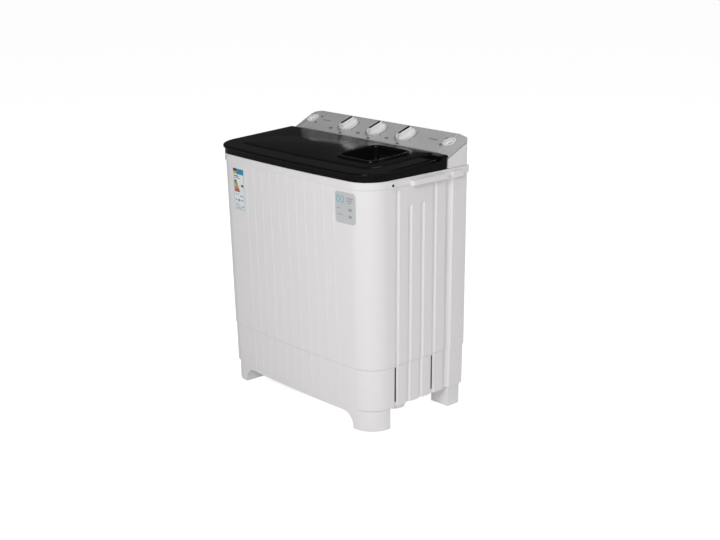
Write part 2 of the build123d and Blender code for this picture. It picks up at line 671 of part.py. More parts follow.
def finger_dip():
    """Dip in the right-hand lid's outer edge for lifting it: its tray and the cutter above."""
    front = NOTCH_FRONT - LID_SKIN
    back = NOTCH_BACK + LID_SKIN
    tray = block(NOTCH_X - LID_SKIN, HALF, front, back, RIM_TOP, LID_Z0 + 20)
    tray &= sloped_slab(-NOTCH_DEPTH - LID_SKIN, -1) & prism(SKIRT_INSET + 1, RIM_TOP, LID_Z0 + 20)
    cut = block(NOTCH_X, HALF + 20, NOTCH_FRONT, NOTCH_BACK, RIM_TOP, LID_Z0 + 30)
    return tray, cut & sloped_slab(-NOTCH_DEPTH, 10)


def spin_lid():
    """Right-hand lid over the spinner, with a finger dip and a deep pocket."""
    edge = SEAM_X + SEAM_GAP / 2
    tray, cut = finger_dip()
    lid = lid_half(edge, WIDTH) + seam_wall(edge, edge + LID_SKIN) + tray - cut
    lid += hinge_barrel(RIGHT_POST[0] - POST_GAP, -1)
    lid += hinge_barrel(CENTRE_POST[1] + POST_GAP, 1)
    lid += pocket_ring()
    lid += pocket_cup(LID_SKIN, POCKET_FLOOR - LID_SKIN, lid_top(POCKET_Y, 0))
    cutter = pocket_cup(0, POCKET_FLOOR, lid_top(POCKET_Y, PANEL_RISE + POCKET_RIM_RISE + 8))
    floor_edges = [e for e in cutter.edges() if e.center().Z < POCKET_FLOOR + 0.1]
    lid -= chamfer(floor_edges, 4)
    # finger that holds the brake rod down while the lid is shut
    finger = block(ROD_X - 4, ROD_X + 4, ROD_Y - 4, ROD_Y + 4, ROD_TOP + FIT, LID_Z0 + 20)
    return lid + (finger & sloped_slab(-60, -1))


def hinge_blocks():
    """Black posts under the lids' rear edges that carry the pins."""
    posts = []
    for x0, x1 in (LEFT_POST, CENTRE_POST, RIGHT_POST):
        post = block(x0, x1, HINGE_Y - POST_DEPTH, HINGE_Y + POST_R, DECK_Z, HINGE_Z)
        post += cross_rod(x0, x1, HINGE_Y, HINGE_Z, POST_R)
        posts.append(post - cross_rod(x0 - 1, x1 + 1, HINGE_Y, HINGE_Z, PIN_R + 0.02))
    return Compound(posts)


def hinge_pins():
    """Three steel pins, each through its post and the barrels beside it."""
    reach = POST_GAP + BARREL - 1
    left = cross_rod(LEFT_POST[0] + 2, LEFT_POST[1] + reach, HINGE_Y, HINGE_Z, PIN_R)
    centre = cross_rod(CENTRE_POST[0] - reach, CENTRE_POST[1] + reach, HINGE_Y, HINGE_Z, PIN_R)
    right = cross_rod(RIGHT_POST[0] - reach, RIGHT_POST[1] - 2, HINGE_Y, HINGE_Z, PIN_R)
    return Compound([left, centre, right])


# ---------------------------------------------------------------- console
def fascia_z(y, offset=0.0):
    """Height of the panel's surface, or of a plane parallel to it."""
    return FASCIA_Z + PANEL_SLOPE * (y - FASCIA_FRONT) + offset / PANEL_COS


def console_section(x, y0, y1, z0, top, drop):
    """Closed profile at one station across the machine."""
    return Plane.YZ.offset(x) * make_face(Polyline(
        (y0, z0), (y1, z0), (y1, fascia_z(y1, top) - drop), (y0, fascia_z(y0, top) - drop), close=True))


def console_wedge(y0, y1, z0, top, half=HALF + 2):
    """Wedge under the panel, its two ends falling away outside the folds."""
    drop = (half - FOLD_X) / FOLD * END_DROP
    middle = loft([console_section(-FOLD_X, y0, y1, z0, top, 0),
                   console_section(FOLD_X, y0, y1, z0, top, 0)], ruled=True)
    right = loft([console_section(FOLD_X, y0, y1, z0, top, 0),
                  console_section(half, y0, y1, z0, top, drop)], ruled=True)
    return middle + right + mirrored(right)


def console_plan(inset, y0, z0, z1):
    """Plan of the console: square at the front, rounded rear corners."""
    half = HALF - inset
    back = BACK - inset
    face = Face(Wire(Polyline((-half, y0), (half, y0), (half, back), (-half, back), close=True).edges()))
    face = face.fillet_2d(CONSOLE_R - inset, [v for v in face.vertices() if v.Y > back - 1])
    return Pos(0, 0, z0) * extrude(face, z1 - z0)


def control_fascia():
    """Silver lacquered panel with holes for three shafts and two inlets."""
    low = RIM_Z
    plate = console_wedge(FASCIA_FRONT, FASCIA_BACK, low, 0)
    plate -= console_wedge(FASCIA_FRONT - 20, FASCIA_BACK + 20, low - 10, -FASCIA_T, HALF + 10)
    plate &= console_plan(0.4, FASCIA_FRONT - 10, low - 10, FASCIA_Z + 80)
    plate += block(-FOLD_X, FOLD_X, FASCIA_FRONT, FASCIA_FRONT + 1.4, FASCIA_Z - 8, FASCIA_Z - 1)
    for x in KNOB_X:
        plate -= panel_pin(x, KNOB_Y, -20, 20, SHAFT_R + 1.2)
    for sx in (-1, 1):
        plate -= panel_pin(sx * INLET_X, INLET_Y, -30, 30, INLET_R + 0.5)
    return plate


def panel_pin(x, y, low, high, radius):
    """Cylinder square to the panel, between two depths measured from its surface."""
    place = Pos(x, y, fascia_z(y)) * Rot(PANEL_ANGLE, 0, 0)
    return place * Pos(0, 0, (low + high) / 2) * Cylinder(radius, high - low)


def on_panel(x, y, shape, turn=0.0):
    return Pos(x, y, fascia_z(y)) * Rot(PANEL_ANGLE, 0, 0) * Rot(0, 0, turn) * shape


def control_housing():
    """Open-topped tray under the panel, with a cheek at each end."""
    top = -FASCIA_T - FIT
    high = FASCIA_Z + 80
    front = CONSOLE_FRONT + CONSOLE_WALL
    outer = console_wedge(CONSOLE_FRONT, BACK - 2, CONSOLE_Z, top)
    outer &= console_plan(CONSOLE_INSET, CONSOLE_FRONT, RIM_Z, high)
    inner = console_wedge(front, BACK, RIM_Z, top + 30, HALF + 10)
    inner &= console_plan(CONSOLE_INSET + CONSOLE_WALL, front, CONSOLE_Z + CONSOLE_WALL, high)
    tray = outer - inner
    # ends stand lower, which leaves the dark gap below the panel's ends
    above = console_wedge(FASCIA_FRONT - 20, BACK + 20, RIM_Z, 60, HALF + 20)
    above -= console_wedge(FASCIA_FRONT - 30, BACK + 30, RIM_Z - 10, -FASCIA_T - END_GAP, HALF + 25)
    for sx in (-1, 1):
        x = sx * (HALF - CONSOLE_INSET)
        tray -= above & block(x - 6, x + 6, 0, WIDTH, RIM_Z, high)
        slot = sx * INLET_X
        tray -= block(slot - DUCT_W, slot + DUCT_W, FASCIA_FRONT - 10, front + 10, DUCT_Z - FIT, DUCT_Z + 15)
    tray -= rod(VALVE_X, VALVE_Y, RIM_Z, CONSOLE_Z + CONSOLE_WALL + 1, ROD_R + 1)
    for x in KNOB_X:
        tray -= panel_pin(x, KNOB_Y, -20, 20, 14)
    return tray


def knob(x):
    """Rotary knob: low round base and a tapering grip ridge."""
    base = Pos(0, 0, KNOB_GAP) * extrude(Circle(KNOB_R), KNOB_BASE, taper=14)
    length = 2 * KNOB_R - 6
    flare = math.degrees(math.atan((GRIP_FOOT - GRIP_W) / 2 / (KNOB_H - KNOB_GAP)))
    ridge = Pos(0, 0, KNOB_GAP) * extrude(SlotOverall(length, GRIP_FOOT), KNOB_H - KNOB_GAP, taper=flare)
    ridge = chamfer(ridge.faces().sort_by(Axis.Z)[-1].edges(), 1.2)
    body = base + ridge
    body -= Pos(0, 0, KNOB_H - 0.9) * extrude(SlotOverall(INSERT_L + FIT, INSERT_W + FIT), 5)
    body -= Pos(0, 0, -1) * Cylinder(SHAFT_R + 0.02, 2 * KNOB_H - 12)
    return on_panel(x, KNOB_Y, body, KNOB_TURN)


def knob_insert(x):
    """Dark strip let into the top of the grip."""
    strip = Pos(0, 0, KNOB_H - 0.9) * extrude(SlotOverall(INSERT_L, INSERT_W), INSERT_T)
    return on_panel(x, KNOB_Y, strip, KNOB_TURN)


def knob_shaft(x):
    """Shaft from the switch up into the knob."""
    return on_panel(x, KNOB_Y, Pos(0, 0, -8) * Cylinder(SHAFT_R, 35))


def timer_body(x):
    """Clockwork timer: square plate, gear can and two terminal tabs."""
    plate = Pos(0, 0, -FASCIA_T - 1.6) * Box(58, 44, 2)
    can = Pos(0, 0, -FASCIA_T - 2.6 - 13) * Cylinder(20, 26)
    body = plate + can
    for side in (-1, 1):
        body += Pos(side * 24, 0, -FASCIA_T - 8) * Box(7, 16, 12)
        body += Pos(side * 26, 14, -FASCIA_T - 0.9) * Cylinder(3, 1.2)
    body -= Pos(0, 0, -18) * Cylinder(SHAFT_R + 0.1, 80)
    return on_panel(x, KNOB_Y, body)


def selector_body():
    """Drain selector: box with a side arm towards the lift rod."""
    plate = Pos(0, 0, -FASCIA_T - 1.6) * Box(52, 42, 2)
    can = Pos(0, 3, -FASCIA_T - 2.6 - 11) * Box(34, 28, 22)
    body = plate + can
    body -= Pos(0, 0, -18) * Cylinder(SHAFT_R + 0.1, 80)
    return on_panel(KNOB_X[1], KNOB_Y, body)


def inlet_socket(sx):
    """Round cup let into the panel, with the water spigot's bore in its floor."""
    depth = INLET_DEPTH + 4
    cup = Pos(0, 0, -depth / 2 + 0.5) * Cylinder(INLET_R, depth + 1)
    cup -= Pos(0, 0, 5 - INLET_DEPTH) * Cylinder(INLET_R - 2.5, 10)
    cup += Pos(0, 0, 0.9) * (Cylinder(INLET_R + 2, 1.4) - Cylinder(INLET_R - 2.5, 3))
    cup += Pos(0, 0, -depth - 8) * Cylinder(INLET_BORE + 2.5, 16)
    cup -= Pos(0, 0, -20) * Cylinder(INLET_BORE, 60)
    return on_panel(sx * INLET_X, INLET_Y, cup)


def inlet_sockets():
    return Compound([inlet_socket(-1), inlet_socket(1)])


def fill_duct(sx):
    """Trough that takes the water forward from the inlet over the tub's edge."""
    nose = SPIN_NOSE if sx > 0 else WASH_NOSE
    x = sx * INLET_X
    half = DUCT_W - 0.5
    low = DUCT_Z + 2
    y0 = BACK - 48
    y1 = BACK - 8
    trough = block(x - half, x + half, nose, y0 + 10, DUCT_Z, DUCT_Z + 13)
    trough -= block(x - half + 2, x + half - 2, nose - 1, y0 + 20, low, DUCT_Z + 20)
    cup = block(x - half - 7, x + half + 7, y0, y1, DUCT_Z, DUCT_Z + 27)
    cup -= block(x - half - 5, x + half + 5, y0 + 2, y1 - 2, low, DUCT_Z + 30)
    cup -= block(x - half + 2, x + half - 2, y0 - 10, y0 + 10, low, DUCT_Z + 13)
    return trough - block(x - 20, x + 20, y0 + 2, y1, low, DUCT_Z + 40) + cup


def fill_ducts():
    return Compound([fill_duct(-1), fill_duct(1)])


# ---------------------------------------------------------------- wash tub
def tub_form(grow, low, high):
    """Tapering body of the tub with a bevelled foot."""
    draft = WASH_TAPER / 2 / (DECK_Z - WASH_FLOOR)
    shrink = draft * (DECK_Z - low) - grow + TUB_BEVEL
    foot = RectangleRounded(WASH_W - 2 * shrink, WASH_D - 2 * shrink, WASH_R - shrink)
    shrink -= TUB_BEVEL * (1 + draft)
    body = RectangleRounded(WASH_W - 2 * shrink, WASH_D - 2 * shrink, WASH_R - shrink)
    bevel = math.degrees(math.atan(1 + draft))
    lean = math.degrees(math.atan(draft))
    form = Pos(0, 0, low) * extrude(foot, TUB_BEVEL, taper=-bevel)
    form += Pos(0, 0, low + TUB_BEVEL) * extrude(body, high - low - TUB_BEVEL, taper=-lean)
    return Pos(WASH_X, WASH_Y, 0) * form


def wash_tub():
    """Deep moulded tub with tapering walls, a round well for the pulsator and a hanging flange."""
    tub = tub_form(TUB_WALL, WASH_FLOOR - TUB_WALL, DECK_Z + 1)
    flange = Pos(WASH_X, WASH_Y, DECK_Z + SEAT_GAP) * extrude(RectangleRounded(
        WASH_W + 2 * (TUB_WALL + TUB_FLANGE), WASH_D + 2 * (TUB_WALL + TUB_FLANGE),
        WASH_R + TUB_WALL + TUB_FLANGE), FLANGE_T)
    well_z = WASH_FLOOR - WELL_DEPTH
    tub += flange
    tub += rod(WASH_X, WASH_Y, well_z - TUB_WALL, WASH_FLOOR - 1, WELL_R + TUB_WALL)
    for dx, dy in BRACKET_HOLES:
        tub += rod(WASH_X + dx, WASH_Y + dy, BRACKET_Z + SEAT_GAP, WASH_FLOOR - 1, 8)
    tub -= tub_form(0, WASH_FLOOR, DECK_Z + 8)
    tub -= rod(WASH_X, WASH_Y, well_z, WASH_FLOOR + 5, WELL_R)
    tub -= rod(WASH_X, WASH_Y, well_z - 10, WASH_FLOOR, SPINDLE_R + 3)
    # guide rails of the lint filter on the right-hand wall
    inside = tub_form(1.0, WASH_FLOOR, DECK_Z + 8)
    for dy in (-38, 38):
        y = WASH_Y + dy
        rail = block(FILTER_X - 8, WASH_X + WASH_W / 2, y - 4, y + 4, FILTER_LOW - 4, FILTER_HIGH - 10)
        rail -= block(FILTER_X - 3.6, FILTER_X + 3.6, WASH_Y - 35.6, WASH_Y + 35.6, FILTER_LOW, FILTER_HIGH)
        tub += rail & inside
    # drain grating in the floor behind the well, and the overflow's window
    tub += tube(DRAIN_X, DRAIN_Y, WASH_FLOOR - 22, WASH_FLOOR - 1, 17, 14.5)
    for i in range(4):
        x = DRAIN_X - 9 + i * 6
        tub -= block(x - 1.5, x + 1.5, DRAIN_Y - 8, DRAIN_Y + 8, WASH_FLOOR - 10, WASH_FLOOR + 9)
    back = WASH_Y + WASH_D / 2
    for i in range(4):
        x = OVERFLOW_X - 12 + i * 8
        tub -= block(x - 2, x + 2, back - 14, back + 26, OVERFLOW_Z - 10, OVERFLOW_Z + 10)
    return tub


def pulsator():
    """Shallow disc with four curved vanes and a domed hub."""
    z = WASH_FLOOR - WELL_DEPTH + 4
    r = PULSATOR_R
    profile = make_face(Polyline(
        (SPINDLE_R + 0.02, z), (r - 4, z), (r, z + 3), (r, z + 7), (r - 14, z + 9),
        (42, z + 15), (30, z + 26), (14, z + 30), (SPINDLE_R + 0.02, z + 30), close=True))
    disc = revolve(Plane.XZ * profile, Axis.Z)
    vane = Pos(58, 0, z + 5) * extrude(SlotOverall(90, 22), 20, taper=20)
    for i in range(4):
        disc += Rot(0, 0, 90 * i) * vane
    disc -= Cylinder(SPINDLE_R + 0.02, 4 * WASH_FLOOR)
    return Pos(WASH_X, WASH_Y, 0) * disc


def pulsator_screw():
    """Capped screw that holds the pulsator on its shaft."""
    z = WASH_FLOOR - WELL_DEPTH + 34.2
    head = rod(WASH_X, WASH_Y, z, z + 5, 12)
    head = chamfer(head.edges().sort_by(Axis.Z)[-1], 1.5)
    return head - block(WASH_X - 9, WASH_X + 9, WASH_Y - 1, WASH_Y + 1, z + 3.5, z + 8)


def lint_filter():
    """Frame with a bulging net pocket that slides in the tub's rails."""
    y = WASH_Y
    mid = (FILTER_LOW + FILTER_HIGH) / 2
    reach = (FILTER_HIGH - FILTER_LOW) / 2
    frame = block(FILTER_X - 3.2, FILTER_X + 3.2, y - 35.2, y + 35.2, mid - reach + 0.4, mid + reach)
    frame -= block(FILTER_X - 8, FILTER_X + 8, y - 28, y + 28, mid - reach + 16, mid + reach - 16)
    place = Pos(FILTER_X - 3, y, mid) * Rot(0, -90, 0)

    def pocket(grow):
        mouth = RectangleRounded(2 * reach - 28 + 2 * grow, 58 + 2 * grow, 20)
        crown = Pos(0, 0, 12 + grow) * RectangleRounded(2 * reach - 76 + 2 * grow, 26 + 2 * grow, 10)
        return loft([mouth, crown], ruled=True)
    net = place * (pocket(1.2) - Pos(0, 0, -0.1) * pocket(0))
    lug = block(FILTER_X - 9, FILTER_X, y - 12, y + 12, mid + reach - 8, mid + reach - 2)
    return frame + net + lug


# ---------------------------------------------------------------- wash drive
def gear_housing():
    """Bearing housing of the pulsator, bolted under the tub through its flange."""
    x, y = WASH_X, WASH_Y
    top = WASH_FLOOR - WELL_DEPTH - TUB_WALL - SEAT_GAP
    body = rod(x, y, top - 6, top, 52) + rod(x, y, PULLEY_Z + 22, top - 5, 34)
    body = body + rod(x, y, PULLEY_Z + PULLEY_H / 2 + 3, PULLEY_Z + 24, 22)
    for i in range(6):
        rib = Rot(0, 0, 60 * i) * block(30, 48, -2.5, 2.5, top - 50, top - 5)
        body += Pos(x, y, 0) * rib
    neck = rod(x, y, top - 1, WASH_FLOOR - WELL_DEPTH + 2, SPINDLE_R + 2.6)
    return body + neck - rod(x, y, 0, WASH_FLOOR, SPINDLE_R + RUNNING)


def pulsator_shaft():
    z0 = PULLEY_Z - PULLEY_H / 2 - 5
    return rod(WASH_X, WASH_Y, z0, WASH_FLOOR - WELL_DEPTH + 34, SPINDLE_R)


def grooved_pulley(x, y, radius, bore, spokes):
    """V-belt pulley, with lightening holes in the large one."""
    h = PULLEY_H / 2
    g = radius - GROOVE
    profile = make_face(Polyline(
        (bore, -h), (radius, -h), (g, -2.5), (g, 2.5), (radius, h), (bore, h), close=True))
    wheel = revolve(Plane.XZ * profile, Axis.Z)
    if spokes:
        dish = Cylinder(radius - 12, h) - Cylinder(20, PULLEY_H)
        wheel -= Pos(0, 0, h) * dish
        wheel -= Pos(0, 0, -h) * dish
        for i in range(spokes):
            a = math.radians(360 / spokes * i)
            wheel -= Pos(46 * math.cos(a), 46 * math.sin(a), 0) * Cylinder(14, PULLEY_H)
    return Pos(x, y, PULLEY_Z) * wheel


def pulsator_pulley():
    return grooved_pulley(WASH_X, WASH_Y, WASH_PULLEY_R, SPINDLE_R + 0.02, 5)


def motor_pulley():
    wheel = grooved_pulley(MOTOR_X, MOTOR_Y, MOTOR_PULLEY_R, 0.0, 0)
    return wheel + rod(MOTOR_X, MOTOR_Y, PULLEY_Z + PULLEY_H / 2 - 1, BRACKET_Z - 24, 6)


def belt_loop(radius_a, radius_b, height):
    """Tangent loop round the two pulleys."""
    dx = MOTOR_X - WASH_X
    dy = MOTOR_Y - WASH_Y
    span = math.hypot(dx, dy)
    turn = math.degrees(math.atan2(dy, dx))
    lean = math.asin((radius_a - radius_b) / span)
    s, c = math.sin(lean), math.cos(lean)
    up_a = (radius_a * s, radius_a * c)
    up_b = (span + radius_b * s, radius_b * c)
    low_a = (up_a[0], -up_a[1])
    low_b = (up_b[0], -up_b[1])
    loop = make_face(Wire([
        Line(up_a, up_b),
        ThreePointArc(up_b, (span + radius_b, 0), low_b),
        Line(low_b, low_a),
        ThreePointArc(low_a, (-radius_a, 0), up_a),
    ]))
    solid = extrude(loop, height / 2, both=True)
    return Pos(WASH_X, WASH_Y, PULLEY_Z) * Rot(0, 0, turn) * solid


def drive_belt():
    groove_a = WASH_PULLEY_R - GROOVE + FIT
    groove_b = MOTOR_PULLEY_R - GROOVE + FIT
    return belt_loop(groove_a + 4, groove_b + 4, 4.4) - belt_loop(groove_a, groove_b, 9)


def wash_motor():
    """Open-ended induction motor: two finned bells round a laminated stack."""
    top = BRACKET_Z - BRACKET_T - SEAT_GAP
    bottom = PULLEY_Z + PULLEY_H / 2 + 6
    lower = rod(MOTOR_X, MOTOR_Y, bottom, bottom + 26, MOTOR_R - 4)
    stack = rod(MOTOR_X, MOTOR_Y, bottom + 25, top - 26, MOTOR_R)
    upper = rod(MOTOR_X, MOTOR_Y, top - 27, top, MOTOR_R - 4)
    body = lower + stack + upper
    for i in range(8):
        a = 45 * i
        slot = Rot(0, 0, a) * block(24, 40, -5, 5, bottom - 1, bottom + 12)
        body -= Pos(MOTOR_X, MOTOR_Y, 0) * slot
    for i in range(4):
        ear = Rot(0, 0, 45 + 90 * i) * block(40, 64, -7, 7, top - 5, top)
        body += Pos(MOTOR_X, MOTOR_Y, 0) * ear
    return body - rod(MOTOR_X, MOTOR_Y, 0, BRACKET_Z - 22, 6.1)


def motor_bracket():
    """Pressed plate under the tub that carries the motor."""
    x0, x1 = WASH_X - 96, MOTOR_X + 58
    y0, y1 = MOTOR_Y - 58, WASH_Y + 80
    plate = block(x0, x1, y0, y1, BRACKET_Z - BRACKET_T, BRACKET_Z)
    plate = fillet(plate.edges().filter_by(Axis.Z), 24)
    plate -= rod(WASH_X, WASH_Y, BRACKET_Z - 5, BRACKET_Z + 5, 54)
    lip = block(x0, x1, y0, y0 + 3, BRACKET_Z - 14, BRACKET_Z - 1)
    return plate + (lip & block(x0 + 26, x1 - 26, y0, y1, 0, BRACKET_Z))


# ---------------------------------------------------------------- spinner
def spin_casing():
    """Round outer tub of the spinner, with a sloping floor and a drain neck."""
    z = CASING_FLOOR
    outer = CASING_R + TUB_WALL
    flange = DECK_Z + SEAT_GAP
    profile = make_face(Polyline(
        (34, z - TUB_WALL), (CASING_R - 12, z - TUB_WALL), (outer, z + 12), (outer, flange),
        (outer + TUB_FLANGE, flange), (outer + TUB_FLANGE, flange + FLANGE_T), (CASING_R, flange + FLANGE_T),
        (CASING_R, z + 13), (CASING_R - 13, z), (37, z), (37, z + 7), (34, z + 7), close=True))
    body = Pos(SPIN_X, SPIN_Y, 0) * revolve(Plane.XZ * profile, Axis.Z)
    body += tube(SPIN_X + CASING_DRAIN[0], SPIN_Y + CASING_DRAIN[1], z - 12, z - 1, 13, 10)
    return body - rod(SPIN_X + CASING_DRAIN[0], SPIN_Y + CASING_DRAIN[1], z - 30, z + 5, 10)


def spin_basket():
    """Perforated drum with a rolled top ring, upright flutes and a coned hub."""
    r = BASKET_R
    w = BASKET_WALL
    z = BASKET_FLOOR
    t = BASKET_TOP
    profile = make_face(Polyline(
        (SPINDLE_R + 0.02, z - 14), (22, z - 14), (24, z), (r - 10, z), (r, z + 10), (r, t - 16),
        (r + 4, t - 14), (r + 4, t), (r - 14, t), (r - 14, t - 4), (r - w, t - 18), (r - w, z + 10 + w / 2),
        (r - 10 - w / 2, z + w), (46, z + w), (20, z + 46), (SPINDLE_R + 0.02, z + 46), close=True))
    drum = revolve(Plane.XZ * profile, Axis.Z)
    for row in range(BASKET_ROWS):
        for i in range(BASKET_HOLES):
            a = 360 / BASKET_HOLES * (i + 0.5 * (row % 2))
            level = z + 40 + row * (t - z - 90) / (BASKET_ROWS - 1)
            drum -= Rot(0, 0, a) * Pos(r, 0, level) * Rot(0, 90, 0) * Cylinder(BASKET_HOLE_R, 14)
    return Pos(SPIN_X, SPIN_Y, 0) * drum


def hold_down_plate():
    """Loose disc with finger holes that keeps the washing from flying out."""
    z = BASKET_FLOOR + 46.3
    disc = Cylinder(BASKET_R - 10, 3) - Cylinder(14, 9)
    for i in range(6):
        disc -= Rot(0, 0, 60 * i) * Pos(58, 0, 0) * Cylinder(13, 9)
    ring = Cylinder(BASKET_R - 10, 9) - Cylinder(BASKET_R - 13, 12)
    return Pos(SPIN_X, SPIN_Y, z + 1.5) * (disc + Pos(0, 0, 3) * ring)


def spin_shaft():
    return rod(SPIN_X, SPIN_Y, SPIN_MOTOR_Z[0] + 12, BASKET_FLOOR + 45, SPINDLE_R)


def brake_drum():
    """Steel drum clamped on the shaft; the pad bears on its rim."""
    z0, z1 = BRAKE_Z
    drum = rod(SPIN_X, SPIN_Y, z0, z1, BRAKE_R)
    drum -= rod(SPIN_X, SPIN_Y, z0 + 5, z1 + 1, BRAKE_R - 4) - rod(SPIN_X, SPIN_Y, z0, z1 - 4, 16)
    return drum - rod(SPIN_X, SPIN_Y, 0, CASING_FLOOR, SPINDLE_R + 0.02)


def bellows_seal():
    """Rubber bellows between the casing's floor and the shaft."""
    z = CASING_FLOOR
    profile = make_face(Polyline(
        (SPINDLE_R + 0.1, z - 10), (26, z - 10), (30, z - 4), (26, z), (33.7, z + 3), (33.7, z + 7.3),
        (41, z + 7.3), (41, z + 10), (30, z + 10), (24, z + 5), (20, z + 12), (14, z + 20),
        (SPINDLE_R + 0.1, z + 20), close=True))
    return Pos(SPIN_X, SPIN_Y, 0) * revolve(Plane.XZ * profile, Axis.Z)


def spin_motor():
    """Upright motor on a three-armed plate, with ears for the brake lever."""
    z0, z1 = SPIN_MOTOR_Z
    body = rod(SPIN_X, SPIN_Y, z0, z0 + 34, SPIN_MOTOR_R - 5)
    body += rod(SPIN_X, SPIN_Y, z0 + 33, z1 - 28, SPIN_MOTOR_R)
    body += rod(SPIN_X, SPIN_Y, z1 - 29, z1 - 6, SPIN_MOTOR_R - 5)
    body += rod(SPIN_X, SPIN_Y, z1 - 7, z1, 20)
    for i in range(3):
        a = SPRING_TURN + 120 * i
        arm = block(SPIN_MOTOR_R - 8, SPRING_RING + 16, -15, 15, SPRING_TOP + SEAT_GAP, SPRING_TOP + 5)
        body += Pos(SPIN_X, SPIN_Y, 0) * Rot(0, 0, a) * arm
    for dx in EARS:
        x = SPIN_X + dx
        ear = block(x - 3, x + 3, LEVER_Y - 9, LEVER_Y + 9, SPRING_TOP + 1, LEVER_Z + 9)
        arm = block(min(x - 3, SPIN_X), max(x + 3, SPIN_X), LEVER_Y - 30, LEVER_Y + 9,
                    SPRING_TOP + 1, SPRING_TOP + 5)
        body += ear + arm
    body -= cross_rod(SPIN_X - 90, SPIN_X + 70, LEVER_Y, LEVER_Z, LEVER_R + RUNNING)
    return body - rod(SPIN_X, SPIN_Y, SPIN_MOTOR_Z[0] + 11, CASING_FLOOR, SPINDLE_R + RUNNING)


def spring_spot(i):
    a = math.radians(SPRING_TURN + 120 * i)
    return SPIN_X + SPRING_RING * math.cos(a), SPIN_Y + SPRING_RING * math.sin(a)


def suspension_springs():
    """Three coil springs that carry the spin motor."""
    springs = []
    start_z = FLOOR_TOP + SEAT_GAP + 1.8 + SPRING_WIRE + SEAT_GAP
    height = SPRING_TOP - SPRING_WIRE - start_z
    for i in range(3):
        x, y = spring_spot(i)
        path = Helix(pitch=height / SPRING_TURNS, height=height, radius=SPRING_R)
        start = Plane(origin=path @ 0, z_dir=path % 0)
        coil = sweep(start * RegularPolygon(SPRING_WIRE, 5), path)
        springs.append(Pos(x, y, start_z) * coil)
    return Compound(springs)


def spring_cups():
    """Rubber-faced cups under the springs."""
    cups = []
    for i in range(3):
        x, y = spring_spot(i)
        low = FLOOR_TOP + SEAT_GAP
        cups.append(rod(x, y, low, low + 10, CUP_R) - tube(x, y, low + 1.8, low + 12, CUP_R - 3, 8))
    return Compound(cups)


def brake_lever():
    """Cross tube with a pad arm over the drum and a long arm to the rod."""
    tube_bar = cross_rod(ROD_X - 4, SPIN_X + EARS[1] + 8, LEVER_Y, LEVER_Z, LEVER_R)
    gap = PAD_GAP + BRAKE_R
    arm = block(SPIN_X - 9, SPIN_X + 9, SPIN_Y + gap + 6, LEVER_Y + 3, LEVER_Z + 2, BRAKE_Z[1] - 4)
    long_arm = block(ROD_X - 4, ROD_X + 4, LEVER_Y, ROD_Y + 7, LEVER_Z - 4, LEVER_Z + 4)
    return tube_bar + arm + long_arm


def brake_pad():
    gap = PAD_GAP + BRAKE_R
    pad = block(SPIN_X - 14, SPIN_X + 14, SPIN_Y + gap - 3, SPIN_Y + gap + 6, LEVER_Z + 8, BRAKE_Z[1] - 2)
    return pad - rod(SPIN_X, SPIN_Y, BRAKE_Z[0] - 10, BRAKE_Z[1] + 10, BRAKE_R + PAD_GAP)


def brake_rod():
    """Rod from the spin lid down to the brake lever, hooked round the lever's arm."""
    foot = LEVER_Z + 4 + SEAT_GAP
    stem = rod(ROD_X, ROD_Y, foot, ROD_TOP, ROD_R)
    return stem + rod(ROD_X, ROD_Y, ROD_TOP - 3, ROD_TOP, ROD_R + 0.6)


# ---------------------------------------------------------------- drain
def drain_valve_body():
    """Valve chamber on the base: three upright ports, a cross gallery and the outlet spout."""
    z0 = FLOOR_TOP + SEAT_GAP
    ports = [VALVE_X + dx for dx in PORT_DX]
    gallery_z = SPOUT_Z + 38
    seat_z = SPOUT_Z + 14
    lid_z = gallery_z + 18
    body = rod(VALVE_X, VALVE_Y, z0, lid_z, VALVE_R)
    body += cross_rod(ports[0] - 12, ports[2] + 12, VALVE_Y, gallery_z, 12)
    body += along_y(VALVE_X, VALVE_Y, SPOUT_END, SPOUT_Z, SPOUT_R)
    body += along_y(VALVE_X, VALVE_Y, SPOUT_END - SPOUT_LENGTH, SPOUT_Z, SPOUT_R + 3)
    inner = rod(VALVE_X, VALVE_Y, z0 + 3, lid_z - 3, VALVE_R - 4)
    inner += cross_rod(ports[0] - 9.5, ports[2] + 9.5, VALVE_Y, gallery_z, 9.5)
    inner += along_y(VALVE_X, VALVE_Y, SPOUT_END + 5, SPOUT_Z, SPOUT_R - 3)
    for x in ports:
        body += rod(x, VALVE_Y, gallery_z, PORT_Z, 12)
        inner += rod(x, VALVE_Y, gallery_z, PORT_Z + 5, 9.5)
    body -= inner
    body += tube(VALVE_X, VALVE_Y, seat_z, seat_z + 3, VALVE_R - 2, PLUG_R - 3)
    return body - rod(VALVE_X, VALVE_Y, lid_z - 5, lid_z + 5, ROD_R + RUNNING)


def drain_plunger():
    """Rubber-faced plug and the rod that lifts it."""
    seat = SPOUT_Z + 17 + SEAT_GAP
    plug = rod(VALVE_X, VALVE_Y, seat, seat + 8, PLUG_R)
    return plug + rod(VALVE_X, VALVE_Y, seat + 7, DECK_Z + 35, ROD_R)


def bent_pipe(points, outer, inner):
    """Pipe swept through corner points, starting and ending upright."""
    start = Plane(origin=points[0], z_dir=(0, 0, -1))
    path = Polyline(*points)
    body = sweep(start * Circle(outer), path, transition=Transition.RIGHT)
    return body - sweep(start * Circle(inner), path, transition=Transition.RIGHT)


def drain_pipe(x0, y0, z0, drop, port):
    """Bent pipe from a tub's neck down to one of the valve's ports."""
    x1 = VALVE_X + PORT_DX[port]
    z1 = PORT_Z + 0.4
    path = [(x0, y0, z0), (x0, y0, z0 - drop), (x1, VALVE_Y, z1 + 14), (x1, VALVE_Y, z1)]
    return bent_pipe(path, PIPE_R, PIPE_R - 2)


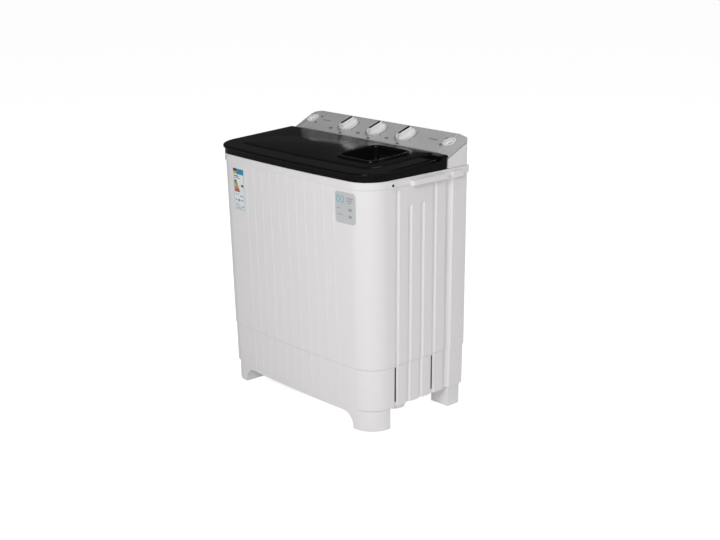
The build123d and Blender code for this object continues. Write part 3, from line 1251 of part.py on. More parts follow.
def drain_pipes():
    wash = drain_pipe(DRAIN_X, DRAIN_Y, WASH_FLOOR - 22.4, 18, 1)
    spin = drain_pipe(SPIN_X + CASING_DRAIN[0], SPIN_Y + CASING_DRAIN[1], CASING_FLOOR - 12.4, 10, 2)
    return Compound([wash, spin])


def overflow_pipe():
    """Upright pipe behind the wash tub, with a box over the tub's overflow window."""
    x = OVERFLOW_X
    z = OVERFLOW_Z
    y = WASH_Y + WASH_D / 2 + TUB_WALL - 0.5
    hood = block(x - 20, x + 20, y, y + 21, z - 20, z + 20)
    hood -= block(x - 17.5, x + 17.5, y - 1, y + 18.5, z - 17.5, z + 17.5)
    x1 = VALVE_X + PORT_DX[0]
    z1 = PORT_Z + 0.4
    path = [(x, y + 10, z - 18), (x, y + 10, z1 + 50), (x1, VALVE_Y, z1 + 14), (x1, VALVE_Y, z1)]
    return hood + bent_pipe(path, PIPE_R - 2, PIPE_R - 4) - rod(x, y + 10, z - 40, z - 12, PIPE_R - 4)


# ---------------------------------------------------------------- electrics
def motor_capacitors():
    """Two round capacitors standing in the rear left of the base."""
    cans = []
    low = FLOOR_TOP + SEAT_GAP
    for i in range(2):
        x = REAR_FOOT + i * 50 - HALF
        can = rod(x, INLET_Y, low, low + 72, 19)
        can = chamfer(can.edges().sort_by(Axis.Z)[-1], 1.5)
        cans.append(can + rod(x, INLET_Y, low + 71, low + 80, 4))
    return Compound(cans)


def cord_gland():
    """Stepped bush in the base's rear wall where the mains cord would pass."""
    y = BACK - BASE_INSET
    gland = along_y(GLAND_X, y + SEAT_GAP, y + 4.8, GLAND_Z, 9)
    gland += along_y(GLAND_X, y - 12, y + 1, GLAND_Z, GLAND_R)
    return gland - along_y(GLAND_X, y - 30, y + 30, GLAND_Z, 3.5)


NODES = {
    "lower_base": lower_base,
    "upper_cabinet": upper_cabinet,
    "rear_cover": rear_cover,
    "rear_cover_screws": cover_screws,
    "foot_pads": foot_pads,
    "top_frame": top_frame,
    "carry_handles": carry_handles,
    "hose_hooks": hose_hooks,
    "wash_lid": wash_lid,
    "spin_lid": spin_lid,
    "hinge_blocks": hinge_blocks,
    "hinge_pins": hinge_pins,
    "control_housing": control_housing,
    "control_fascia": control_fascia,
    "wash_timer_knob": lambda: knob(KNOB_X[0]),
    "drain_selector_knob": lambda: knob(KNOB_X[1]),
    "spin_timer_knob": lambda: knob(KNOB_X[2]),
    "wash_timer_knob_insert": lambda: knob_insert(KNOB_X[0]),
    "drain_selector_knob_insert": lambda: knob_insert(KNOB_X[1]),
    "spin_timer_knob_insert": lambda: knob_insert(KNOB_X[2]),
    "wash_timer_shaft": lambda: knob_shaft(KNOB_X[0]),
    "drain_selector_shaft": lambda: knob_shaft(KNOB_X[1]),
    "spin_timer_shaft": lambda: knob_shaft(KNOB_X[2]),
    "wash_timer_body": lambda: timer_body(KNOB_X[0]),
    "drain_selector_body": selector_body,
    "spin_timer_body": lambda: timer_body(KNOB_X[2]),
    "inlet_sockets": inlet_sockets,
    "fill_ducts": fill_ducts,
    "wash_tub": wash_tub,
    "pulsator": pulsator,
    "pulsator_screw": pulsator_screw,
    "pulsator_shaft": pulsator_shaft,
    "pulsator_pulley": pulsator_pulley,
    "gear_housing": gear_housing,
    "lint_filter": lint_filter,
    "motor_pulley": motor_pulley,
    "drive_belt": drive_belt,
    "wash_motor": wash_motor,
    "motor_bracket": motor_bracket,
    "spin_casing": spin_casing,
    "spin_basket": spin_basket,
    "hold_down_plate": hold_down_plate,
    "spin_shaft": spin_shaft,
    "brake_drum": brake_drum,
    "bellows_seal": bellows_seal,
    "spin_motor": spin_motor,
    "suspension_springs": suspension_springs,
    "spring_cups": spring_cups,
    "brake_lever": brake_lever,
    "brake_pad": brake_pad,
    "brake_rod": brake_rod,
    "drain_valve_body": drain_valve_body,
    "drain_plunger": drain_plunger,
    "drain_pipes": drain_pipes,
    "overflow_pipe": overflow_pipe,
    "motor_capacitors": motor_capacitors,
    "cord_gland": cord_gland,
}

if __name__ == "__main__":
    for name, make in NODES.items():
        save(name, make())
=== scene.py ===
import json
import math

import bmesh
import bpy
from mathutils import Matrix, Vector
from mathutils.bvhtree import BVHTree


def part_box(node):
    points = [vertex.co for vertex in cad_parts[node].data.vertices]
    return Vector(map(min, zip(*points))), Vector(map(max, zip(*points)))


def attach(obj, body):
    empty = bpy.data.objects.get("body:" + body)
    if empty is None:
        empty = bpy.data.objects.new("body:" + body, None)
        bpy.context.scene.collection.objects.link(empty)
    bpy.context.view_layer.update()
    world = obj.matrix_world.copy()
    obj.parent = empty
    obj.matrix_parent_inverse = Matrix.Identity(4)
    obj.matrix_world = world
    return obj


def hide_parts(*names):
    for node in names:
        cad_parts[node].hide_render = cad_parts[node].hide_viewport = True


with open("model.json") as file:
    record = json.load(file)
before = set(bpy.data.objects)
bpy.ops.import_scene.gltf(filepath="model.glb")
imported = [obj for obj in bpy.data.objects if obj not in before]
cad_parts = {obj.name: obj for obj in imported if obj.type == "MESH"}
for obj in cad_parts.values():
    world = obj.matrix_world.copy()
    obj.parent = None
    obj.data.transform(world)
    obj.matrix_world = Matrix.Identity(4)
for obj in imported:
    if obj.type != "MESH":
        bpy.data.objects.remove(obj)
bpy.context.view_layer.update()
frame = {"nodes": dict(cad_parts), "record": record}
nodes = frame["nodes"]
joints = {joint["name"]: joint for joint in frame["record"]["behaviour"]["joints"]}
MM = 0.001

# ---- Casing -----------------------------------------------------------------
# The white shells: base, cabinet, top frame, console tray, rear cover and the
# mouldings fixed to them. They are injection moulded polypropylene, which has
# a satin skin with a fine spark-eroded grain.


def linear(hex_colour):
    """sRGB hex to the linear values that shaders take."""
    out = []
    for i in (0, 2, 4):
        c = int(hex_colour[i:i + 2], 16) / 255
        out.append(c / 12.92 if c <= 0.04045 else ((c + 0.055) / 1.055) ** 2.4)
    return (*out, 1.0)


def add_node(tree, kind, links=None, **settings):
    """Adds one node; links maps an input's name or number to a socket or to a value.

    Mix nodes have several inputs of one name, so theirs go by number: 2 and 3
    are the two values, 6 and 7 the two colours.
    """
    node = tree.nodes.new(kind)
    for name, value in settings.items():
        setattr(node, name, value)
    for name, value in (links or {}).items():
        if isinstance(value, bpy.types.NodeSocket):
            tree.links.new(value, node.inputs[name])
        else:
            node.inputs[name].default_value = value
    return node


def new_material(name):
    """Empty node material and its tree."""
    mat = bpy.data.materials.new(name)
    mat.use_nodes = True
    mat.node_tree.nodes.clear()
    return mat, mat.node_tree


def moulded(name, hex_low, hex_high, rough, grain_mm, bump, spec=0.5, metal=0.0):
    """Moulded or lacquered skin: slight drift of colour and gloss, and a fine grain."""
    drift_scale, gloss_drift, grain_height = 6.0, 0.03, 0.0002
    mat, tree = new_material(name)
    coord = add_node(tree, "ShaderNodeTexCoord")
    drift = add_node(tree, "ShaderNodeTexNoise",
                     {"Vector": coord.outputs["Object"], "Scale": drift_scale, "Detail": 3.0})
    tone = add_node(tree, "ShaderNodeMix",
                    {0: drift.outputs["Fac"], 6: linear(hex_low), 7: linear(hex_high)},
                    data_type="RGBA")
    gloss = add_node(tree, "ShaderNodeMapRange", {
        "Value": drift.outputs["Fac"],
        "To Min": rough - gloss_drift, "To Max": rough + gloss_drift})
    grain = add_node(tree, "ShaderNodeTexNoise",
                     {"Vector": coord.outputs["Object"], "Scale": 1000 / grain_mm, "Detail": 1.0})
    relief = add_node(tree, "ShaderNodeBump", {
        "Height": grain.outputs["Fac"], "Strength": bump, "Distance": grain_height})
    shader = add_node(tree, "ShaderNodeBsdfPrincipled", {
        "Base Color": tone.outputs[2], "Roughness": gloss.outputs[0], "Normal": relief.outputs[0],
        "Specular IOR Level": spec, "Metallic": metal})
    add_node(tree, "ShaderNodeOutputMaterial", {"Surface": shader.outputs[0]})
    return mat


weld_distance, crease_angle = 0.00001, math.radians(32)
smooth = bpy.data.node_groups.new("smooth by angle", "GeometryNodeTree")
smooth.interface.new_socket("Geometry", in_out="INPUT", socket_type="NodeSocketGeometry")
smooth.interface.new_socket("Geometry", in_out="OUTPUT", socket_type="NodeSocketGeometry")
source = add_node(smooth, "NodeGroupInput")
welded = add_node(smooth, "GeometryNodeMergeByDistance",
                  {"Geometry": source.outputs[0], "Distance": weld_distance})
soft = add_node(smooth, "GeometryNodeSetShadeSmooth", {"Geometry": welded.outputs[0]},
                domain="FACE")
angle = add_node(smooth, "GeometryNodeInputMeshEdgeAngle")
sharp = add_node(smooth, "ShaderNodeMath", {0: angle.outputs["Unsigned Angle"], 1: crease_angle},
                 operation="GREATER_THAN")
crisp = add_node(smooth, "GeometryNodeSetShadeSmooth", {
    "Geometry": soft.outputs[0], "Selection": sharp.outputs[0], "Shade Smooth": False},
    domain="EDGE")
add_node(smooth, "NodeGroupOutput", {0: crisp.outputs[0]})


def soften(piece):
    """Soft shading between faces that nearly line up."""
    piece.modifiers.new("smooth by angle", "NODES").node_group = smooth


def dress(material, *names):
    """Gives CAD nodes their finish."""
    for name in names:
        piece = nodes[name]
        piece.data.materials.clear()
        piece.data.materials.append(material)
        soften(piece)


white_casing = moulded("white polypropylene, satin moulded", "EDEBEB", "EFEDED", 0.42, 0.7, 0.04)
white_gloss = moulded("white ABS, polished", "F1F1F0", "F5F5F4", 0.24, 0.5, 0.02)
dress(white_casing, "lower_base", "upper_cabinet", "top_frame", "rear_cover", "control_housing",
      "fill_ducts", "carry_handles", "hose_hooks")

# ---- Front labels -----------------------------------------------------------
# Two printed film labels on the cabinet's front: a tall rating card with bars
# of colour at the left and a small silver plate at the right. Each is a thin
# sheet that follows the bowed, leaning front, with the print just above it.


def mesh_piece(name, bm, material, body="cabinet_body", flat=False):
    """Mesh object from bmesh data in millimetres, finished and riding on a body."""
    bmesh.ops.scale(bm, vec=(MM, MM, MM), verts=bm.verts)
    data = bpy.data.meshes.new(name)
    bm.to_mesh(data)
    bm.free()
    for face in data.polygons:
        face.use_smooth = not flat
    data.materials.append(material)
    thing = bpy.data.objects.new(name, data)
    bpy.context.collection.objects.link(thing)
    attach(thing, body)
    return thing


def printed(name, hex_colour, rough=0.35):
    """Film label ink: even colour with a trace of mottle."""
    mottle_scale, mottle_depth = 900.0, 0.92
    mat, tree = new_material(name)
    coord = add_node(tree, "ShaderNodeTexCoord")
    mottle = add_node(tree, "ShaderNodeTexNoise",
                      {"Vector": coord.outputs["Object"], "Scale": mottle_scale, "Detail": 1.0})
    base = linear(hex_colour)
    dark = tuple(mottle_depth * c for c in base[:3]) + (1.0,)
    tone = add_node(tree, "ShaderNodeMix", {0: mottle.outputs["Fac"], 6: dark, 7: base},
                    data_type="RGBA")
    shader = add_node(tree, "ShaderNodeBsdfPrincipled",
                      {"Base Color": tone.outputs[2], "Roughness": rough})
    add_node(tree, "ShaderNodeOutputMaterial", {"Surface": shader.outputs[0]})
    return mat


def surface_of(name):
    """Surface of a CAD node, for finding spots on it."""
    mesh = nodes[name].data
    return BVHTree.FromPolygons([v.co.copy() for v in mesh.vertices],
                                [tuple(p.vertices) for p in mesh.polygons])


cabinet_surface = surface_of("upper_cabinet")


def front_y(x, z):
    """Where the cabinet's front surface lies at one spot."""
    spot, _, _, _ = cabinet_surface.ray_cast(Vector((x * MM, -1.0, z * MM)), Vector((0, 1, 0)))
    return spot.y / MM


def bridge(bm, columns):
    """Joins upright pairs of points into one strip."""
    pairs = [[bm.verts.new(point) for point in column] for column in columns]
    for last, pair in zip(pairs, pairs[1:]):
        bm.faces.new((last[0], pair[0], pair[1], last[1]))


def front_sheet(bm, x0, x1, z0, z1, lift, corner=0.0):
    """Rectangle with rounded corners laid on the front, lifted off it a little."""
    column_pitch = 5
    steps = max(2, round((x1 - x0) / column_pitch))
    columns = []
    for i in range(steps + 1):
        x = x0 + (x1 - x0) * i / steps
        near = min(x - x0, x1 - x)
        cut = corner - math.sqrt(corner ** 2 - (corner - near) ** 2) if near < corner else 0.0
        columns.append([(x, front_y(x, z) - lift, z) for z in (z0 + cut, z1 - cut)])
    bridge(bm, columns)


def label(name, material, patches, lift, corner=0.0):
    """One ink or film: several patches in one piece."""
    bm = bmesh.new()
    for x0, x1, z0, z1 in patches:
        front_sheet(bm, x0, x1, z0, z1, lift, corner)
    return mesh_piece(name, bm, material)


# The card: a white film with a pale blue edge, a header, bars that grow towards
# the foot, and generic marks in place of numbers and pictograms.
film_lift, edge_lift, ink_lift = 0.25, 0.33, 0.35
card_left, card_right, card_low, card_high = -247.0, -195.0, 549.0, 670.0
edge_width, header_height, corner_height, bar_indent = 1.6, 16, 8, 4
label("rating_card", printed("white label film", "F4F6F8", 0.3),
      [(card_left, card_right, card_low, card_high)], film_lift)
label("rating_card_edge", printed("pale blue ink", "8FC4E6"), [
    (card_left, card_left + edge_width, card_low, card_high),
    (card_right - edge_width, card_right, card_low, card_high),
    (card_left, card_right, card_low, card_low + edge_width)], edge_lift)
header_left, header_low = card_left + header_height, card_high - header_height
label("rating_card_header", printed("cyan ink", "2F8FC0"),
      [(header_left, card_right, header_low, card_high)], ink_lift)
label("rating_card_corner", printed("navy ink", "1F3C78"),
      [(card_left, header_left, card_high - corner_height, card_high)], ink_lift)
label("rating_card_corner_low", printed("yellow ink", "E8B800"),
      [(card_left, header_left, header_low, card_high - corner_height)], ink_lift)
bar_colours = ("3F6B45", "5E8A48", "A9B04A", "C9B04A", "C98A48", "BF6446", "B54A45")
bars_top, bar_pitch, bar_height, bar_length, bar_growth = card_high - 34, 5.0, 4.6, 16, 2.4
for i, colour in enumerate(bar_colours):
    top = bars_top - bar_pitch * i
    end = card_left + bar_length + bar_growth * i
    label(f"rating_bar_{i + 1}", printed(f"bar ink {i + 1}", colour),
          [(card_left + bar_indent, end, top - bar_height, top)], ink_lift)
label("rating_card_marks", printed("dark grey ink", "3A3A3C"), [
    (card_left + 4, card_left + 26, card_high - 23.5, card_high - 20.5),
    (card_left + 4, card_left + 34, card_high - 28.5, card_high - 27),
    (card_right - 14, card_right - 4, card_high - 52, card_high - 45)], ink_lift)
label("rating_card_lines", printed("light grey ink", "9A9DA2"), [
    (card_left + 6, card_left + 26, card_low + 44, card_low + 45.5),
    (card_left + 30, card_right - 5, card_low + 40, card_low + 43),
    (card_left + 6, card_left + 22, card_low + 16, card_low + 17.5),
    (card_left + 6, card_left + 30, card_low + 11, card_low + 12.5),
    (card_right - 16, card_right - 6, card_low + 8, card_low + 12)], ink_lift)
label("rating_card_blues", printed("sky ink", "5FA8D4"), [
    (card_left + 6, card_left + 13, card_low + 26, card_low + 30),
    (card_left + 18, card_left + 29, card_low + 25, card_low + 31),
    (card_left + 33, card_right - 6, card_low + 27, card_low + 30),
    (card_left + 8, card_right - 16, card_low + 4, card_low + 6)], ink_lift)

# The plate: a silver film with rounded corners, grey lines and two rings.
plate_left, plate_right, plate_low, plate_high = 205.0, 278.0, 591.0, 676.0
silver_film = moulded("brushed silver film", "C3C5C8", "CFD1D3", 0.35, 0.6, 0.03)
label("silver_plate", silver_film, [(plate_left, plate_right, plate_low, plate_high)], film_lift,
      corner=8)
label("silver_plate_lines", printed("grey ink", "A2A5A9"), [
    (plate_right - 30, plate_right - 8, plate_high - 17, plate_high - 14),
    (plate_right - 30, plate_right - 10, plate_high - 23, plate_high - 20),
    (plate_right - 28, plate_right - 14, plate_high - 29, plate_high - 26.5),
    (plate_left + 5, plate_left + 20, plate_high - 46, plate_high - 44),
    (plate_right - 24, plate_right - 12, plate_high - 49, plate_high - 42),
    (plate_left + 5, plate_left + 28, plate_low + 22, plate_low + 24),
    (plate_right - 24, plate_right - 12, plate_low + 17, plate_low + 24)], ink_lift)


def front_ring(bm, x, z, outer_x, outer_z, stroke, lift):
    """Oval outline laid on the front."""
    steps = 28
    loops = []
    for inset in (0, stroke):
        loop = []
        for i in range(steps):
            a = 2 * math.pi * i / steps
            px = x + (outer_x - inset) * math.cos(a)
            pz = z + (outer_z - inset) * math.sin(a)
            loop.append(bm.verts.new((px, front_y(px, pz) - lift, pz)))
        loops.append(loop)
    for i in range(steps):
        j = (i + 1) % steps
        bm.faces.new((loops[0][i], loops[0][j], loops[1][j], loops[1][i]))


ring_z, ring_wide, ring_tall, ring_stroke = plate_high - 20, 6.5, 10.5, 2.2
bm = bmesh.new()
for ring_x in (plate_left + 11, plate_left + 27):
    front_ring(bm, ring_x, ring_z, ring_wide, ring_tall, ring_stroke, ink_lift)
mesh_piece("silver_plate_rings", bm, printed("turquoise ink", "52B6CC"))

# ---- Lids -------------------------------------------------------------------
# Two black lids with a rolled lip, a margin, a low raised panel and a skirt
# that hangs over the rim; the right-hand one has a deep pocket and a finger
# dip. High-gloss ABS, polished in the tool, so it mirrors the room faintly.

black_gloss = moulded("black ABS, high gloss", "0E0E10", "121214", 0.14, 1.2, 0.006, spec=0.12)
black_satin = moulded("black ABS, satin", "0D0D0F", "121214", 0.35, 0.6, 0.04, spec=0.2)

lid_low, lid_high = [Vector(v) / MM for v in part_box("wash_lid")]
hinge = Vector(joints["wash_lid_hinge"]["pos_m"]) / MM
spin_centre = Vector(joints["spin_basket_spin"]["pos_m"]) / MM
half = -lid_low.x
lid_front, lid_back = lid_low.y, lid_high.y
slope = math.tan(math.radians(3.05))
lid_z = hinge.z + 2.3
skirt_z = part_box("top_frame")[1].z / MM + 0.3
# The skirt's lower edge rises behind the heel, to clear the rim as the lid opens.
heel_y, heel_slope = lid_back - 12, 0.5
corner_r, bow = 79.0, 12.0
wall = 2.6
seam_x, seam_half = 6.0, 1.0
# How far the raised field's foot lies inside the lip at the side, front and back,
# and how much its corners and its bow shrink on the way.
field_rise, lip_width = 3.0, 4.0
field_side, field_front, field_back, field_corner, field_bow = 42.4, 50.4, 10.9, 28.4, 4.0
dip_x, dip_front, dip_back, dip_deep = half - 42.0, lid_back - 65.0, lid_back - 24.5, 8.0
dip_middle, dip_end = 62.0, 0.7
touching = 0.01


def lid_height(y, rise=0.0):
    """Height of the margin's sloping plane, or of a plane parallel to it."""
    return lid_z + slope * y + rise


def lid_outline(side, front, radius, bulge, back):
    """Plan of one ring, from the rear right corner round the front to the rear left one."""
    corner_steps, front_steps = 14, 12
    straight_stations = [20.0, -20.0, -60.0, -90.0]
    arc_r = (side ** 2 + bulge ** 2) / (2 * bulge)
    middle = front + arc_r
    cx = side - radius
    cy = middle - math.sqrt((arc_r - radius) ** 2 - cx ** 2)
    turn_end = math.atan2(cy - middle, cx)
    stations = [back, min(heel_y, back - 0.4), dip_back + dip_end, dip_back, dip_middle, dip_front,
                dip_front - dip_end]
    points = [(side, y) for y in stations + straight_stations]
    for i in range(corner_steps + 1):
        a = turn_end * i / corner_steps
        points.append((cx + radius * math.cos(a), cy + radius * math.sin(a)))
    for i in range(1, front_steps + 1):
        a = turn_end + (-math.pi / 2 - turn_end) * i / front_steps
        points.append((arc_r * math.cos(a), middle + arc_r * math.sin(a)))
    return points + [(-x, y) for x, y in reversed(points[:-1])]


def in_dip(x, y):
    """Whether a spot lies in the finger dip of the right-hand lid."""
    return x > dip_x - touching and dip_front <= y <= dip_back


def lip_ring(inset, rise):
    """Ring of the skirt or the lip; without a rise it is the skirt's lower edge."""
    ring = []
    for x, y in lid_outline(half - inset, lid_front + inset, corner_r - inset, bow, lid_back):
        if rise is None:
            z = skirt_z + max(0.0, y - heel_y) * heel_slope
        else:
            z = lid_height(y, min(rise, -dip_deep) if in_dip(x, y) else rise)
        ring.append((x, y, z))
    return ring


def margin_ring(share, rise, grow=0.0):
    """Ring between the lip (share 0) and the foot of the raised field (share 1)."""
    side = half - lip_width - field_side * share + grow
    front = lid_front + lip_width + field_front * share - grow
    back = lid_back - field_back * share + grow
    radius = corner_r - lip_width - field_corner * share + grow
    return [(x, y, lid_height(y, -dip_deep if in_dip(x, y) else rise))
            for x, y in lid_outline(side, front, radius, bow - field_bow * share, back)]


def loft(bm, rings, closed):
    """Bridges rings of equal length and returns their vertices."""
    lines = [ring if isinstance(ring[0], bmesh.types.BMVert) else [bm.verts.new(p) for p in ring]
             for ring in rings]
    for low, high in zip(lines, lines[1:]):
        count = len(low)
        for i in range(count if closed else count - 1):
            j = (i + 1) % count
            bm.faces.new((low[i], low[j], high[j], high[i]))
    return lines


def pocket_ring(grow, radius, rise, flat_z=None):
    """Rounded rectangle round the pocket, on the lid's slope or level."""
    corner_steps = 8
    wide, deep = 138.0 + 2 * grow, 142.0 + 2 * grow
    cx, cy = spin_centre.x + 0.5, spin_centre.y + 14.5
    ring = []
    for sx, sy, start in ((1, 1, 0), (-1, 1, 90), (-1, -1, 180), (1, -1, 270)):
        for i in range(corner_steps + 1):
            a = math.radians(start + 90 * i / corner_steps)
            x = cx + sx * (wide / 2 - radius) + radius * math.cos(a)
            y = cy + sy * (deep / 2 - radius) + radius * math.sin(a)
            ring.append((x, y, lid_height(y, rise) if flat_z is None else flat_z))
    return ring


# Inset and rise of each ring, from the skirt's lower edge over the rolled lip.
lip_profile = ((4.6, None), (4.6, -8.0), (1.6, -8.0), (0.5, -7.4),
               (0.0, -6.2), (0.0, -3.2), (0.6, -1.5), (2.0, -0.4))
# Share, rise and growth of each ring, from the margin up to the raised field.
field_profile = ((0.0, 0.0, 0.0), (0.25, 0.0, 0.0), (0.88, 0.0, 0.0), (0.897, 0.0, 0.0),
                 (1.0, 0.0, 0.0), (1.0, 0.5, -1.2), (1.0, 2.5, -2.8), (1.0, field_rise, -4.0))
# Growth, corner radius and rise of each ring over the pocket's rim, then growth,
# corner radius and height above the floor of each ring down in the pocket.
pocket_rim = ((10.0, 34.0, 3.0), (9.6, 33.6, 6.0), (8.6, 32.6, 7.5), (7.0, 31.0, 8.0),
              (3.0, 27.0, 8.0), (1.2, 25.2, 7.4), (0.3, 24.3, 6.0), (0.0, 24.0, 3.0))
pocket_cup = ((-6.4, 17.6, 5), (-7.8, 16.2, 1.6), (-11.5, 12.5, 0))
pocket_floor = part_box("spin_lid")[0].z / MM + 3
seam_return, rear_return = 9.0, 4.0


def lid_skin(side):
    """Outer surface of one lid; side is 1 for the right-hand lid and -1 for the other."""
    bm = bmesh.new()
    upper = loft(bm, [margin_ring(*ring) for ring in field_profile], True)
    loft(bm, [lip_ring(*ring) for ring in lip_profile] + [upper[0]], False)
    cut = seam_x + side * seam_half
    everything = bm.verts[:] + bm.edges[:] + bm.faces[:]
    bmesh.ops.bisect_plane(bm, geom=everything, plane_co=(cut, 0, 0), plane_no=(side, 0, 0),
                           clear_inner=True, dist=0.0001)
    field = [v for v in bm.verts if abs(v.co.z - lid_height(v.co.y, field_rise)) < touching]
    ends = sorted((v for v in field if abs(v.co.x - cut) < touching), key=lambda v: v.co.y)
    fill = [e for e in bm.edges if e.is_boundary and e.verts[0] in field and e.verts[1] in field]
    fill.append(bm.edges.new((ends[0], ends[-1])))
    if side > 0:
        rings = loft(bm, [pocket_ring(*ring) for ring in pocket_rim]
                     + [pocket_ring(grow, radius, 0, pocket_floor + above)
                        for grow, radius, above in pocket_cup], True)
        bm.faces.new(rings[-1])
        mouth = rings[0]
        fill += [bm.edges.get((mouth[i], mouth[(i + 1) % len(mouth)])) for i in range(len(mouth))]
    bmesh.ops.triangle_fill(bm, use_beauty=True, edges=fill)
    # returns that hang down along the joint between the lids and along the rear edge
    for axis, level, drop in ((0, cut, seam_return), (1, lid_back, rear_return)):
        edge = [e for e in bm.edges if e.is_boundary and all(
            abs(v.co[axis] - level) < touching and v.co.z > lid_height(v.co.y, -0.2)
            for v in e.verts)]
        hung = bmesh.ops.extrude_edge_only(bm, edges=edge)["geom"]
        for v in (g for g in hung if isinstance(g, bmesh.types.BMVert)):
            v.co.z -= drop
    bmesh.ops.recalc_face_normals(bm, faces=bm.faces)
    largest = max(bm.faces, key=lambda f: f.calc_area())
    if largest.normal.z < 0:
        bmesh.ops.reverse_faces(bm, faces=bm.faces)
    return bm


def make_plain(piece):
    """Turns a piece with modifiers into a plain mesh and drops the modifiers."""
    graph = bpy.context.evaluated_depsgraph_get()
    data = bpy.data.meshes.new_from_object(piece.evaluated_get(graph))
    piece.modifiers.clear()
    piece.data = data


def hinge_barrel(bm, x0, x1):
    """Barrel with the web that joins it to the lid above, as a profile drawn along the pin."""
    barrel_r, web_rise = 4.9, -2.0
    web_front, web_back = hinge.y - 8.0, hinge.y + 4.0
    profile = [(web_front, lid_height(web_front, web_rise))]
    for a in range(-100, 101, 20):
        profile.append((hinge.y + barrel_r * math.sin(math.radians(a)),
                        hinge.z - barrel_r * math.cos(math.radians(a))))
    profile.append((web_back, lid_height(web_back, web_rise)))
    ends = [[bm.verts.new((x, y, z)) for y, z in profile] for x in (x0, x1)]
    count = len(profile)
    for i in range(count):
        j = (i + 1) % count
        bm.faces.new((ends[0][i], ends[0][j], ends[1][j], ends[1][i]))
    bm.faces.new(ends[0])
    bm.faces.new(reversed(ends[1]))


# The outer post stands in from the lid's side; the inner one is under the joint.
post_w, barrel_w, post_gap, post_in = 18.0, 22.0, 1.2, 10
outer_post = half - lip_width - post_in - post_w
lid_sides = (("wash_lid", -1), ("spin_lid", 1))
for node_name, side in lid_sides:
    body = node_name + "_body"
    shell = mesh_piece(node_name + "_shell", lid_skin(side), black_gloss, body)
    thicken = shell.modifiers.new("wall", "SOLIDIFY")
    thicken.thickness = wall * MM
    thicken.offset = -1
    thicken.use_even_offset = True
    make_plain(shell)
    soften(shell)
    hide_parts(node_name)
    bm = bmesh.new()
    outer_end = side * (outer_post - post_gap)
    inner_end = seam_x + side * (post_w / 2 + post_gap)
    hinge_barrel(bm, *sorted((outer_end, outer_end - side * barrel_w)))
    hinge_barrel(bm, *sorted((inner_end, inner_end + side * barrel_w)))
    bmesh.ops.recalc_face_normals(bm, faces=bm.faces)
    barrels = mesh_piece(node_name + "_hinge_barrels", bm, black_satin, body, flat=True)
    soften(barrels)
dress(black_satin, "hinge_blocks")

# ---- Rim band ---------------------------------------------------------------
# The lines that part the white mouldings: grey strips of painted shade under the top frame,
# at the base's upper edge and over its plinth, where the overhangs shade the seams. A dark
# strip of painted shade lies beside each of the base's vent slits, and a screw holds each tab.

rim_shade_paint = moulded("grey painted shade under the top frame", "6E6E70", "787879", 0.8, 0.6, 0.3)
seam_shade_paint = moulded("grey painted shade in the parting lines", "868585", "8F8E8E", 0.8, 0.6, 0.2)
base_surface = surface_of("lower_base")


def ring_line(name, surface, low, high, lift, material, start=-200.0, stop=20.0):
    """Thin upright strip round the front and both sides, just off the wall."""
    steps = 880
    columns = []
    for i in range(steps + 1):
        a = math.radians(start + (stop - start) * i / steps)
        out = Vector((math.cos(a), math.sin(a), 0))
        spot, normal, _, _ = surface.ray_cast(
            Vector((out.x, out.y, (low + high) / 2 * MM)), -out)
        place = spot / MM + Vector((normal.x, normal.y, 0)).normalized() * lift
        columns.append([(place.x, place.y, z) for z in (low, high)])
    bm = bmesh.new()
    bridge(bm, columns)
    mesh_piece(name, bm, material)


# painted shade: a grey strip just under the top frame stands in for the shadow of its overhang
ring_line("rim_shade_line", cabinet_surface, 685.9, 686.9, 0.35, rim_shade_paint)
# painted shade: grey strips at the base's upper edge and under the plinth's step stand in for the
# shade in those seams
ring_line("base_seam_shade", base_surface, 184.6, 186.0, 0.2, seam_shade_paint)
ring_line("plinth_shade_line", base_surface, 61.8, 63.4, 0.2, seam_shade_paint, -164.0, -16.0)

# The channels' walls hide the vent slits from the front, so a dark strip beside each slit is
# painted shade, standing in for the dark inside of the slit.
slit_shade_paint = moulded("dark grey painted shade of the vent slits", "3A3838", "444242", 0.9, 1.2, 0.5)
slit_shade_low, slit_shade_high, slit_shade_lift, slit_shade_probe = 77.0, 178.0, 0.2, 0.13
slit_shade_start, slit_shade_pitch, slit_shade_columns = -0.9, 0.8, 6
sides = ((-1, "left"), (1, "right"))
for sx, side in sides:
    for index, slit_y in enumerate((-73.0, 68.0)):
        columns = []
        for k in range(slit_shade_columns):
            y = slit_y + slit_shade_start + slit_shade_pitch * k
            spot, _, _, _ = base_surface.ray_cast(Vector((sx, y * MM, slit_shade_probe)),
                                                  Vector((-sx, 0, 0)))
            columns.append([(spot.x / MM + sx * slit_shade_lift, y, z) for z in (slit_shade_low, slit_shade_high)])
        bm = bmesh.new()
        bridge(bm, columns)
        bmesh.ops.recalc_face_normals(bm, faces=bm.faces)
        mesh_piece(f"slit_shade_paint_{side}_{index + 1}", bm, slit_shade_paint)

# each screw head is real, but its near-black colour is painted shade of the hole it sits in
screw_head_shade_paint = moulded("screw head, near-black as painted shade of its hole", "1E1E20", "262628", 0.4, 0.8, 0.1, spec=0.3)
# Radius and distance from the machine's middle of each ring of a screw's head.
screw_profile = ((2.8, 328.0), (3.9, 330.9), (3.7, 331.3), (1.5, 331.5), (1.2, 330.6))
screw_y, screw_z, screw_steps = -94, 693, 20
screw_angles = [math.radians(360 / screw_steps * k) for k in range(screw_steps)]
for sx, side in sides:
    bm = bmesh.new()
    rings = loft(bm, [[(sx * x, screw_y + r * math.cos(a), screw_z + r * math.sin(a))
                       for a in screw_angles] for r, x in screw_profile], True)
    bm.faces.new(rings[-1])
    bm.faces.new(reversed(rings[0]))
    bmesh.ops.recalc_face_normals(bm, faces=bm.faces)
    mesh_piece(f"rim_screw_{side}", bm, screw_head_shade_paint, flat=True)

